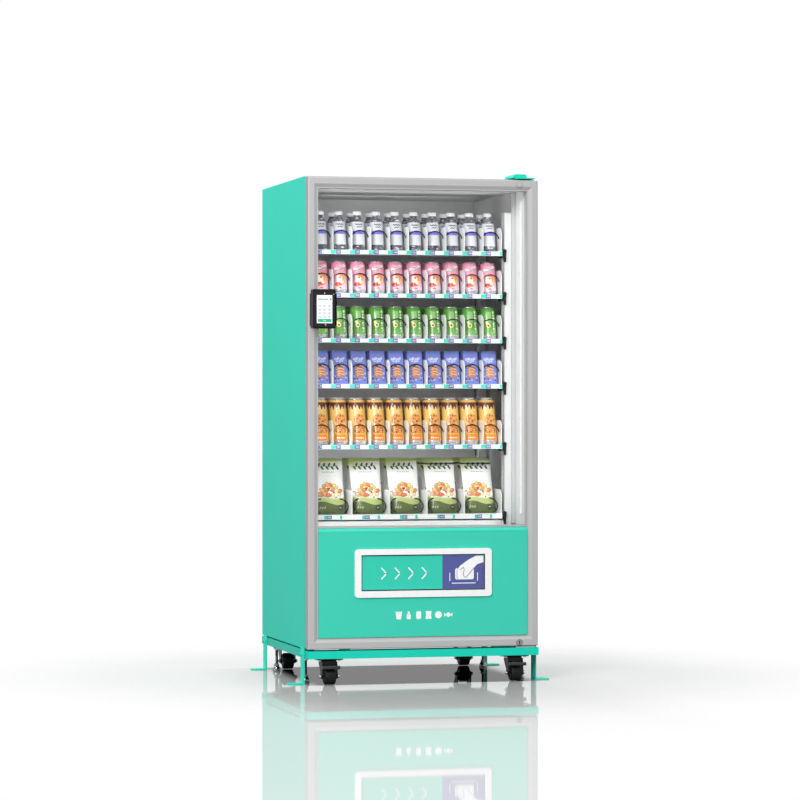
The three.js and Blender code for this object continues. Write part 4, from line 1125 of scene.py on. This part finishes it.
def carton(sketch, x, depth, z, width=57, thick=42, height=128):
    """A small straight carton with a slightly rounded top."""
    half, deep = width / 2, thick / 2
    levels = [(half - 1, deep - 1, 0), (half, deep, 1.5), (half, deep, height - 1.5),
              (half - 1.2, deep - 1.2, height)]
    rings = [[(-a, -b, level), (a, -b, level), (a, b, level), (-a, b, level)] for a, b, level in levels]
    made = [[sketch.mesh.verts.new((x + px, depth + py, z + pz)) for px, py, pz in ring] for ring in rings]
    for low, high, low_at, high_at in zip(made, made[1:], rings, rings[1:]):
        for i in range(4):
            j = (i + 1) % 4
            along = 0 if i in (0, 2) else 1
            way = 1 if i < 2 else -1
            uvs = [(p[along] * way + i * 100, p[2]) for p in (low_at[i], low_at[j], high_at[j], high_at[i])]
            sketch.face([low[i], low[j], high[j], high[i]], uvs)
    sketch.face(made[0][::-1])
    sketch.face(made[-1])


def bag(sketch, x, depth, z, width=123, height=216, thick=44, lean=80):
    """A pillow bag with sealed top and bottom edges, leaning back a little."""
    columns, rows = 24, 40

    def spot(i, j, side):
        s = -1 + 2 * i / columns
        t = j / rows
        filled = max(0.0, 1 - (t / 0.9) ** 2.2) ** 0.6 * min(1.0, (t + 0.04) * 6) ** 0.5
        swell = max(0.0, 1 - abs(s) ** 2.8) ** 0.7 * filled
        half = width / 2 * (1 - 0.045 * math.sin(math.pi * min(t / 0.9, 1)))
        crease = 0.7 * math.sin(8 * s + 4 * t) * filled * (1 - abs(s))
        y = side * (thick / 2 * swell + 0.4) + crease
        return Vector((x + s * half, depth + y + lean * t ** 1.15, z + height * t * 0.985 + 1))

    for side in (-1, 1):
        grid = [[sketch.mesh.verts.new(spot(i, j, side)) for i in range(columns + 1)]
                for j in range(rows + 1)]
        shift = 0 if side < 0 else 300
        for j in range(rows):
            for i in range(columns):
                corners = [(i, j), (i + 1, j), (i + 1, j + 1), (i, j + 1)][::-side]
                uvs = [((-1 + 2 * a / columns) * width / 2 + shift, b / rows * height) for a, b in corners]
                sketch.face([grid[b][a] for a, b in corners], uvs)


def lean_back(sketch, z, slope):
    """Slants a pack that rests against the spiral turn behind it."""
    for vert in sketch.mesh.verts:
        vert.co.y += (vert.co.z - z) * slope


def make_products():
    kinds = {
        1: (bottle, [bottle_plastic(), bottle_label(), CAP_WHITE], "water_bottle", 197),
        2: (can(29, 125.5), [CAN_METAL, blossom_can()], "blossom_can", 201),
        3: (can(29, 125.5), [CAN_METAL, fruit_can()], "fruit_can", 201),
        4: (carton, [biscuit_carton()], "biscuit_carton", 205),
        # The cookie can's lid takes the white cap paint, as a painted highlight.
        5: (can(33, 177, 4), [CAN_METAL, cookie_can(), CAP_WHITE], "cookie_can", 206),
    }
    for tray, (draw, materials, name, front_row) in kinds.items():
        for i in SLOTS:
            sketch = Sketch()
            draw(sketch, FIRST_X + i * SLOT_PITCH, front_row, FLOORS[tray])
            lean_back(sketch, FLOORS[tray], 0.25)
            made = sketch.done(f"{name}_{i}", f"tray_{tray}", materials, "product_print", smooth=50)
            repeat(made, ROWS[tray], (0, TURN_PITCH, 0))
    print_bag = nut_bag()
    body = f"tray_{BAG_TRAY}"
    for channel in range(len(SLOTS) // 2):
        sketch = Sketch()
        bag(sketch, FIRST_X + (2 * channel + 0.5) * SLOT_PITCH, 204, FLOORS[BAG_TRAY])
        bmesh.ops.remove_doubles(sketch.mesh, verts=sketch.mesh.verts, dist=1.2)
        made = sketch.done(f"nut_bag_{channel}", body, [print_bag], "product_print", smooth=70)
        repeat(made, ROWS[BAG_TRAY], (0, TURN_PITCH, 0))


# ------------------------------------------------------------------ tray posts and cold room fittings
def make_post(end):
    """A folded upright with a column of hook slots in its inner face."""
    low, high = box_mm(f"tray_post_{end}_right")
    width = 27
    x0, x1 = high.x - width, high.x
    y0, y1 = low.y, high.y
    sheet = 1.5
    post = Sketch()
    post.box((x0, y0, low.z), (x1, y0 + sheet, high.z))
    post.box((x1 - sheet, y0 + sheet, low.z), (x1, y1, high.z))
    slot_low, slot_high = y0 + 14, y0 + 24
    post.box((x0, y0 + sheet, low.z), (x0 + sheet, slot_low, high.z))
    post.box((x0, slot_high, low.z), (x0 + sheet, y1, high.z))
    pitch, tall = 19.0, 8.0
    z = low.z + 8
    post.box((x0, slot_low, low.z), (x0 + sheet, slot_high, z))
    while z + pitch < high.z - 2:
        post.box((x0, slot_low, z + tall), (x0 + sheet, slot_high, z + pitch))
        z += pitch
    post.box((x0, slot_low, z + tall), (x0 + sheet, slot_high, high.z))
    for tray in TRAYS:
        top = FLOORS[tray] - 3.6
        post.box((low.x, y0 + 8, top - 3), (x0 + 1, y1 - 8, top))
    made = post.done(f"tray_post_sheet_{end}", "cabinet", POST_GREY, "white_paint", 0.4)
    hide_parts(f"tray_post_{end}_right")
    back = Sketch()
    back.box((x0 + 3, slot_low - 3, low.z + 3), (x0 + 6, slot_high + 3, high.z - 3))
    back.done(f"tray_post_shadow_{end}", "cabinet", OPENING_SHADE_BLACK, "black_plastic")
    soften(f"tray_post_{end}_left", POST_GREY, 0.4)


def make_duct_panel():
    """The sheet cover over the evaporator, with a row of air slots behind each tray gap."""
    depth = 738
    panel = Sketch()
    panel.box((-404, depth, 606), (404, depth + 1.5, 1702))
    panel.done("rear_duct_panel", "cabinet", DUCT_GREY, "white_paint", 0.4)
    # The air slots are thin dark plates on the panel, not holes: painted shade for the openings.
    slots = Sketch()
    for tray in TRAYS[1:]:
        z = FLOORS[tray] + 104
        for n in range(22):
            x = -362 + n * 34
            slots.plate(x - 11, x + 11, z, z + 4, depth, 0.4, 1.9)
    slots.done("rear_duct_slots", "cabinet", OPENING_SHADE_BLACK, "black_plastic")


def make_led_strip(side, name):
    """A strip up a side wall, just behind the door, with its lit face towards the goods."""
    wall = 409.5
    strip = Sketch()
    strip.box((side * (wall - 9), 62, 640), (side * (wall - 0.2), 76, 1850))
    strip.done(f"led_strip_body_{name}", "cabinet", LINER_WHITE, "white_paint", 0.8)
    lit = Sketch()
    lit.box((side * (wall - 8), 76, 648), (side * (wall - 1.4), 78, 1842))
    lit.done(f"led_strip_lens_{name}", "cabinet", LED, "screen_glass", 0.4)
    head = facing([(0, 1), (3.2, 1), (3.2, -0.6), (2.0, -1.6), (0, -1.6)], side)
    screws = Sketch()
    for z in (700, 1010, 1290, 1570, 1820):
        screws.lathe(head, (side * (wall - 9), 69, z), "x", 18)
    screws.done(f"led_strip_screws_{name}", "cabinet", ZINC, "zinc_steel")


def make_cold_room_trim():
    for side, name in ((-1, "left"), (1, "right")):
        make_led_strip(side, name)
    strip = Sketch()
    strip.box((391.5, 157, 600), (409.6, 158.2, 1888))
    strip.done("wall_strip_front_right", "cabinet", STRIP_GREY, "white_paint", 0.4)
    edge = Sketch()
    edge.box((-452, 50.4, 1924.8), (452, 52.5, 1930))
    edge.done("cabinet_top_edge", "cabinet", FRAME_GREY, "frame_grey", 0.6)
    deck = 202
    skirt = Sketch()
    skirt.box((-404, deck, 560.4), (404, deck + 2, 613))
    skirt.plate(344, 372, 574, 604, deck, 0.5, 3)
    skirt.done("deck_front_sheet", "cabinet", TRAY_WHITE, "white_paint", 0.4)
    catch = Sketch()
    stroke(catch, [(348, 600), (348, 578), (368, 578)], 1.4, deck - 0.6, 0.4)
    catch.disc((362, deck - 0.6, 590), 2.4, 0.6, 16)
    catch.done("deck_sheet_catch", "cabinet", CAP_GREY, "zinc_steel")


# ------------------------------------------------------------------ door
def mitred_frame(sketch, profile, x0, x1, z0, z1):
    """Sweeps a closed (inset, depth) profile round a rectangle with mitred corners."""
    rings = []
    for inset, depth in profile:
        rings.append([
            sketch.mesh.verts.new((x, depth, z))
            for x, z in ((x0 + inset, z0 + inset), (x1 - inset, z0 + inset),
                         (x1 - inset, z1 - inset), (x0 + inset, z1 - inset))
        ])
    for a, b in zip(rings, rings[1:] + rings[:1]):
        for i in range(4):
            j = (i + 1) % 4
            sketch.face([a[i], a[j], b[j], b[i]])


def make_door_glass():
    low, high = box_mm("door_glass")
    panes = Sketch()
    for front in (low.y, high.y - 4):
        panes.box((low.x, front, low.z), (high.x, front + 4, high.z))
    made = panes.done("door_panes", "door", PANE, "clear_glass")
    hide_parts("door_glass")
    spacer = Sketch()
    front, back = low.y + 4.3, high.y - 4.3
    mitred_frame(spacer, [(1, front), (9, front), (9, back), (1, back)], low.x, high.x, low.z, high.z)
    spacer.done("glazing_spacer", "door", FRAME_GREY, "frame_grey", 0.3)


def make_door_caps():
    """A hinge cap at the top of the frame, and the lock's slotted plug at its bottom."""
    upper, lower = (378.5, 0, 1907), (378.5, 0, 148.8)
    cap = Sketch()
    cap.lathe([(0, 1), (10, 1), (10, -2), (9, -3), (0, -3)], upper, "y", 40)
    cap.done("door_frame_cap", "door", FRAME_GREY, "frame_grey")
    ring = Sketch()
    ring.ring(upper, "y", 9.6, 11.6, 0.5, -0.8, 40)
    ring.done("door_cap_ring", "door", CAP_GREY, "frame_grey")
    lock = Sketch()
    lock.lathe([(0, 1), (11, 1), (11, -1.6), (10, -2.6), (8.4, -2.6), (8.0, -1.8), (0, -1.8)],
               lower, "y", 40)
    lock.done("door_lock", "door", LOCK_GREY, "zinc_steel")
    # The dark slot and the dark ring round the plug are painted shade for the slot and the gap round it.
    slot = Sketch()
    slot.box((lower[0] - 1.8, -2.7, 142), (lower[0] + 1.8, -1.7, 155.6))
    slot.lathe([(11.0, 0.5), (12.6, 0.5), (12.6, -0.7), (11.0, -0.7)], lower, "y", 40)
    slot.done("door_lock_slot", "door", OPENING_SHADE_BLACK, "black_plastic")


def make_flap():
    low, high = box_mm("delivery_flap")
    face = low.y
    seal = 2.8
    back, front = high.y - 0.5, face - 0.6
    # The black seal round the port is partly a real seal and partly painted shade for the gap round the
    # flap.
    seal_frame = Sketch()
    mitred_frame(seal_frame, [(0.4, front), (seal, front), (seal, back), (0.4, back)],
                 PORT["left"], PORT["right"], PORT["bottom"], PORT["top"])
    seal_frame.done("flap_seal", "door", OPENING_SHADE_BLACK, "gasket_rubber")
    leaf_low = (PORT["left"] + seal + 1.4, face, PORT["bottom"] + seal + 1.6)
    leaf_high = (PORT["right"] - seal - 1.4, high.y, PORT["top"] - seal - 1.6)
    leaf = Sketch()
    leaf.box(leaf_low, leaf_high)
    pin_length = 491
    leaf.lathe([(0, 0), (2, 0), (2, pin_length), (0, pin_length)], (PORT["left"] - 3, 9, 485), "x", 16)
    made = leaf.done("flap_leaf", "flap", TEAL_PLASTIC, "teal_plastic", 0.8)
    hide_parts("delivery_flap")
    field_left, margin = 73.8, 0.8
    field = Sketch()
    field.plate(field_left, leaf_high[0] - margin, leaf_low[2] + margin, leaf_high[2] - margin,
                face, 0.2, 0.8)
    field.done("flap_purple_field", "flap", PURPLE, "teal_plastic")
    make_flap_marks(face)


def make_flap_marks(face):
    """Four chevrons that say which way to push, and a hand reaching for a pack in a tray."""
    marks = Sketch()
    for n in range(4):
        x = -156 + n * 53
        stroke(marks, [(x - 9, 440.5), (x + 10, 420), (x - 9, 399.5)], 4.6, face, 0.35)
    tray_line = arc(110, 387, 7, 180, 270, 5) + arc(206, 387, 7, 270, 360, 5)
    stroke(marks, [(103, 419)] + tray_line + [(213, 419)], 3.0, face - 0.2, 0.35)
    marks.plate(124, 198, 394, 437, face - 0.2, 0.35, 7)
    hand = [(236, 484), (206, 483.5), (178, 470), (156, 455), (141, 444), (137, 436), (143, 432),
            (158, 440), (160, 430), (156, 414), (160, 404), (168, 403), (178, 416), (196, 436),
            (212, 452), (236, 459)]
    marks.prism(hand, "y", face - 0.95, face - 0.45)
    marks.done("flap_marks", "flap", PRINT_WHITE, "white_plastic")
    thumb = [(143, 431), (158, 440), (160, 430), (155.5, 414), (160, 403.5), (168, 402.5), (179, 415),
             (196, 435)]
    lines = Sketch()
    stroke(lines, [(134, 396), (131, 402), (131, 430), (134, 436)], 1.6, face - 0.9, 0.3)
    stroke(lines, thumb, 1.8, face - 1.1, 0.3)
    lines.done("flap_mark_lines", "flap", PURPLE, "teal_plastic")


def stroke(sketch, points, width, depth, raise_by):
    """A flat line of one width with round ends, drawn on a face that looks to the front."""
    half = width / 2
    for (ax, az), (bx, bz) in zip(points, points[1:]):
        if math.hypot(bx - ax, bz - az) < 1e-6:
            continue
        angle = math.degrees(math.atan2(bz - az, bx - ax))
        head = arc(bx, bz, half, angle - 90, angle + 90, 6)
        tail = arc(ax, az, half, angle + 90, angle + 270, 6)
        sketch.prism(head + tail, "y", depth - raise_by, depth)


def make_panel_icons():
    """A row of plain pictures of what the machine sells: cup, bottle, can, bag, biscuit and sweet."""
    face = box_mm("lower_panel")[0].y
    raised = 0.4
    low, high = 245.0, 275.0
    middle = (low + high) / 2
    cup, flask, tin, pouch, biscuit, sweet = [-98 + n * 39 for n in range(6)]
    icons = Sketch()

    def outline(points):
        icons.prism(points, "y", face - raised, face)

    def slab(x, half, bottom, top, corner):
        icons.plate(x - half, x + half, bottom, top, face, raised, corner)

    outline([(cup - 9, low), (cup + 9, low), (cup + 12, high - 6), (cup - 12, high - 6)])
    slab(cup, 13.5, high - 5, high - 1, 1.5)
    slab(flask, 8, low, high - 11, 2.5)
    outline([(flask - 7, high - 12), (flask + 7, high - 12), (flask + 3.2, high - 5),
             (flask - 3.2, high - 5)])
    slab(flask, 4, high - 5, high, 1)
    slab(tin, 9.5, low + 3, high - 3, 1)
    slab(tin, 7.5, high - 2.2, high, 0.8)
    slab(tin, 7.5, low, low + 2.2, 0.8)
    outline([(pouch - 12, low), (pouch + 12, low), (pouch + 9.5, middle), (pouch + 12, high),
             (pouch - 12, high), (pouch - 9.5, middle)])
    outline(arc(biscuit, middle, 13.5, 0, 350, 35))
    outline(arc(sweet, middle, 8.5, 0, 350, 28))
    for side in (-1, 1):
        tip = sweet + side * 16
        outline([(sweet + side * 8, middle), (tip, middle + 8), (tip, middle - 8)])
    icons.done("panel_icons", "door", PRINT_WHITE, "white_plastic")


# ------------------------------------------------------------------ terminal
def make_terminal():
    face = box_mm("terminal_housing")[0].y
    front = face - 0.6
    glass = Sketch()
    glass.plate(-450, -368.5, 1353, 1492, face + 0.6, 1.2, 5, 8)
    glass.done("terminal_front_glass", "door", GLASS_BLACK, "black_plastic", 0.3)
    make_display(face)
    marks = Sketch()
    marks.disc((-408, front, 1481), 1.8, 0.2, 20)
    for radius in (2.2, 4.2, 6.2):
        stroke(marks, arc(-409, 1362, radius, -42, 42, 6), 0.9, front, 0.2)
    marks.disc((-373, front, 1477), 1.2, 0.2, 16)
    marks.done("terminal_marks", "door", PRINT_WHITE, "white_plastic")
    # The vents are thin dark strips: painted shade for the openings.
    vents = Sketch()
    for n in range(5):
        depth = face + 12 + n * 5
        vents.box((-366.5, depth, 1400), (-365.6, depth + 2.4, 1445))
    vents.done("terminal_vents", "door", OPENING_SHADE_BLACK, "black_plastic")


def make_display(face):
    """The lit screen: a status line, a pale field, twelve keys and a green bar. No lettering."""
    white, mint, pale, green, ink = range(5)
    materials = [
        glowing("screen_white", srgb(250, 251, 252), 0.12),
        glowing("screen_mint", srgb(224, 242, 238), 0.12),
        glowing("screen_pale", srgb(222, 226, 232), 0.1),
        glowing("screen_green", srgb(0, 182, 138), 0.1),
        glowing("screen_ink", srgb(80, 86, 94), 0.06),
    ]
    screen = Sketch()
    base = face - 0.6
    level = base - 0.25

    def tile(paint, x0, x1, z0, z1, depth, thickness, corner):
        screen.paint = paint
        screen.plate(x0, x1, z0, z1, depth, thickness, corner)

    tile(white, -438.5, -379, 1368, 1473.5, base, 0.25, 1)
    tile(mint, -432.5, -384, 1441, 1449.5, level, 0.15, 1)
    for n in range(7):
        x = -434.5 + n * 5.8
        tile(ink, x, x + 4.6, 1456.4, 1460.2, level, 0.15, 0.4)
    screen.disc((-385, level, 1458.3), 3.4, 0.15, 20)
    for row in range(4):
        for column in range(3):
            x, z = -426.5 + column * 18.4, 1432.6 - row * 13.6
            tile(pale, x - 8, x + 8, z - 5.6, z + 5.6, level, 0.12, 1.2)
            tile(ink, x - 1.1, x + 1.1, z - 1.6, z + 1.6, level - 0.12, 0.1, 0.4)
    tile(green, -434.5, -382, 1372.6, 1384.2, level, 0.2, 1)
    tile(white, -412.5, -403.5, 1377.6, 1379.4, level - 0.2, 0.12, 0.4)
    made = screen.done("terminal_display", "door", materials, "screen_glass")
    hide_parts("terminal_screen")


# ------------------------------------------------------------------ back, top and plant details
def make_back_details():
    back = box_mm("rear_grille")[1].y
    side = 440
    spots = [(x, z) for z in (150, 330, 506) for x in (-side, side)]
    spots += [(x, z) for z in (540, 980, 1450, 1912) for x in (-side, 0, side)]
    screws = Sketch()
    for x, z in spots:
        screws.lathe([(0, -1), (5, -1), (5, 0.4), (3.6, 1.8), (1.6, 2.2), (0, 1.4)], (x, back, z), "y", 20)
    screws.done("back_screws", "cabinet", ZINC, "zinc_steel")
    low, high = box_mm("power_inlet")
    middle = (low + high) / 2
    pins = Sketch()
    for dx, dz in ((-9, -3), (0, 0), (9, -3)):
        x, z = middle.x + dx, middle.z + dz
        pins.box((x - 1, back - 14, z), (x + 1, back - 3, z + 7))
    pins.done("inlet_pins", "cabinet", ZINC, "zinc_steel", 0.3)


def make_plant_details():
    fins = Sketch()
    x, last, pitch = -108, 148, 5.2
    while x < last:
        fins.box((x, 786.5, 148), (x + 0.8, 841, 426))
        x += pitch
    fins.done("condenser_fins", "cabinet", ZINC, "zinc_steel")
    shroud = Sketch()
    shroud.ring((20, 781, 300), "y", 116, 118, 0, 8, 48)
    shroud.done("condenser_fan_ring", "cabinet", BLACK_PAINT, "black_paint")
    hot_line = [(-215, 440, 330), (-215, 440, 372), (-205, 452, 392), (-120, 560, 400), (-60, 700, 400),
                (-60, 790, 398)]
    cold_line = [(-250, 400, 300), (-262, 380, 330), (-270, 372, 420), (-270, 372, 500)]
    pipes = Sketch()
    pipes.tube(hot_line, 5, 12)
    pipes.tube(cold_line, 7, 12)
    pipes.done("refrigerant_pipes", "cabinet", COPPER, "zinc_steel")


# ------------------------------------------------------------------ stage
def floor_masks(finish):
    """Masks on the floor: 1 under the machine, 1 fading out in front of it, and 1 far away from it. The
    first two paint shadow under and in front of the machine; the last fades that painted shade out with
    distance.
    """
    place = finish.node("ShaderNodeTexCoord").outputs["Object"]
    x, y, _ = finish.split(place)
    low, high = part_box("base_frame")
    edge = 0.012
    off_centre = finish.math("ABSOLUTE", x)
    across = finish.remap(off_centre, high.x - UNDER_FADE, high.x + 0.03, 1, 0, "SMOOTHSTEP")
    from_front = finish.remap(y, low.y - edge, low.y + edge, 0, 1)
    to_back = finish.remap(y, high.y - edge, high.y + edge, 1, 0)
    under = finish.times(across, finish.times(from_front, to_back))
    ahead = finish.remap(y, low.y - FRONT_REACH, low.y, 0, 1)
    wide = finish.remap(off_centre, high.x - 0.02, high.x + 0.3, 1, 0)
    ahead = finish.times(wide, finish.times(ahead, to_back))
    away = finish.node("ShaderNodeVectorMath", operation="LENGTH")
    finish.link(place, away.inputs[0])
    far = finish.remap(away.outputs["Value"], FADE_FROM, FADE_TO, 0, 1, "SMOOTHSTEP")
    far = finish.times(far, finish.minus(1.0, ahead))
    return under, ahead, far


def floor_finish():
    """White, with a faint mirror. Far from the machine it glows, so that it meets the sky unseen. Near the
    machine it is grey and lit by the lamps, so its soft shadow is partly real and partly painted shade;
    under and in front of the machine it is painted darker still, as painted shadow.
    """
    finish = Finish("studio_floor", srgb(252, 252, 252), 0.1)
    under, ahead, far = floor_masks(finish)
    black = (0.0, 0.0, 0.0, 1.0)
    # Painted shadow: the floor is darkened in front of and under the machine.
    shaded = finish.mix(finish.times(ahead, FRONT_SHADE), FLOOR_WHITE, black)
    shaded = finish.mix(finish.times(under, UNDER_SHADE), shaded, black)
    lighting = finish.node("ShaderNodeLightPath").outputs["Is Diffuse Ray"]
    bounce = (FLOOR_BOUNCE, FLOOR_BOUNCE, FLOOR_BOUNCE, 1.0)
    near = finish.node("ShaderNodeBsdfDiffuse")
    finish.link(finish.mix(lighting, shaded, bounce), near.inputs["Color"])
    plain = finish.node("ShaderNodeEmission")
    finish.link(finish.remap(lighting, 0, 1, 1.0, FAR_BOUNCE), plain.inputs["Strength"])
    mirror = finish.node("ShaderNodeBsdfGlossy", Roughness=0.03, Color=(1.0, 1.0, 1.0, 1.0))
    fresnel = finish.node("ShaderNodeFresnel", IOR=1.45).outputs[0]
    gloss = finish.times(fresnel, finish.remap(under, 0, 1, FLOOR_GLOSS, UNDER_GLOSS))
    finish.surface(finish.blend(gloss, finish.blend(far, near, plain), mirror))
    return finish.material


def make_floor():
    bpy.ops.mesh.primitive_plane_add(size=160, location=(0, 0, 0))
    floor = bpy.context.object
    floor.name = "studio_floor"
    floor.data.materials.append(floor_finish())


def make_sky():
    """White to look at, but it lights the machine more from above than from the sides."""
    world = bpy.data.worlds.new("studio")
    bpy.context.scene.world = world
    world.use_nodes = True
    tree = world.node_tree
    direction = tree.nodes.new("ShaderNodeTexCoord").outputs["Generated"]
    split = tree.nodes.new("ShaderNodeSeparateXYZ")
    tree.links.new(direction, split.inputs[0])

    def calculate(operation, a, b):
        made = tree.nodes.new("ShaderNodeMath")
        made.operation = operation
        for socket, value in zip(made.inputs, (a, b)):
            if isinstance(value, float):
                socket.default_value = value
            else:
                tree.links.new(value, socket)
        return made.outputs[0]

    rise = calculate("MAXIMUM", split.outputs[2], 0.0)
    from_above = calculate("MULTIPLY", calculate("MULTIPLY", rise, rise), SKY_ZENITH)
    lit = calculate("ADD", from_above, SKY_HORIZON)
    rays = tree.nodes.new("ShaderNodeLightPath")
    choice = tree.nodes.new("ShaderNodeMix")
    tree.links.new(rays.outputs["Is Diffuse Ray"], choice.inputs["Factor"])
    choice.inputs["A"].default_value = 1.0
    tree.links.new(lit, choice.inputs["B"])
    sky = tree.nodes["Background"]
    tree.links.new(choice.outputs["Result"], sky.inputs["Strength"])
    sky.inputs["Color"].default_value = (1, 1, 1, 1)


def area_light(name, place, target, size, power):
    data = bpy.data.lights.new(name, "AREA")
    data.shape = "RECTANGLE"
    data.size, data.size_y = size
    data.energy = power
    lamp = bpy.data.objects.new(name, data)
    lamp.location = place
    lamp.rotation_euler = (Vector(target) - Vector(place)).to_track_quat("-Z", "Y").to_euler()
    bpy.context.scene.collection.objects.link(lamp)
    return lamp


def make_studio_lights():
    middle = (0, 0, 1.0)
    area_light("key", (-3.3, -4.9, 4.1), middle, (2.4, 2.4), 285)
    area_light("side", (-2.6, 1.4, 3.7), (-0.45, 0.3, 1.8), (1.3, 1.3), 42)
    right_fill = area_light("right_fill", (4.6, -1.2, 2.6), middle, (2.6, 2.6), 40)
    back_fill = area_light("back_fill", (1.6, 5.6, 3.2), middle, (2.6, 2.6), 120)
    right_fill.visible_glossy = False
    back_fill.visible_glossy = False


def make_inside_lights():
    """The light that the machine's own LED strips give. Each is (place, aim, size, power)."""
    front = DOOR_FACE + 0.038
    z = 1.235
    tall = 1.22
    lamps = {
        "front": ((0, front, z), (0, front + 1, z), (0.78, 1.24), 0.9),
        "top": ((0, front + 0.02, 1.76), (0, front + 0.42, 1.93), (0.7, 0.1), 0.22),
        "left": ((-0.395, front, z), (0.41, front + 0.2, z), (0.03, tall), 1.12),
        "channel": ((0.401, front + 0.06, z), (0.401, front + 0.5, z), (0.012, tall), 0.06),
        "right": ((0.395, front, z), (-0.41, front + 0.35, z), (0.03, tall), 0.7),
        "low": ((0, front + 0.135, 0.6), (0, front + 0.5, 0.585), (0.76, 0.012), 0.12),
        "ceiling": ((0, front + 0.2, 1.85), (0, front + 0.5, 1.93), (0.7, 0.03), 0.12),
    }
    for tray, (top, power) in GAP_LIGHTS.items():
        z = (FLOORS[tray] + top) * MM
        lamps[f"gap_{tray}"] = ((-0.02, front + 0.44, z), (-0.02, front + 0.9, z - 0.01), (0.7, 0.01), power)
    for name, settings in lamps.items():
        lamp = area_light(f"inside_{name}", *settings)
        lamp.visible_camera = False
        lamp.visible_glossy = False


def make_camera():
    data = bpy.data.cameras.new("camera")
    data.lens = 144.5
    data.sensor_width = 36
    data.shift_y = 0.0061
    data.clip_end = 200
    camera = bpy.data.objects.new("camera", data)
    camera.location = (-3.0584, -12.2366, 1.0614)
    camera.rotation_euler = (math.radians(90), 0, math.radians(-14.039))
    bpy.context.scene.collection.objects.link(camera)
    bpy.context.scene.camera = camera


def set_picture():
    view = bpy.context.scene.view_settings
    view.view_transform = "Standard"
    view.look = "None"


make_camera()
make_floor()
make_sky()
make_studio_lights()
make_inside_lights()
set_picture()
dress_cad_nodes()
make_undercarriage()
for tray_number in TRAYS:
    make_tray(tray_number)
    make_coils(tray_number)
    make_price_rail(tray_number)
make_products()
for post_end in ("front", "rear"):
    make_post(post_end)
make_duct_panel()
make_cold_room_trim()
make_door_glass()
make_door_caps()
make_flap()
make_panel_icons()
make_terminal()
make_back_details()
make_plant_details()
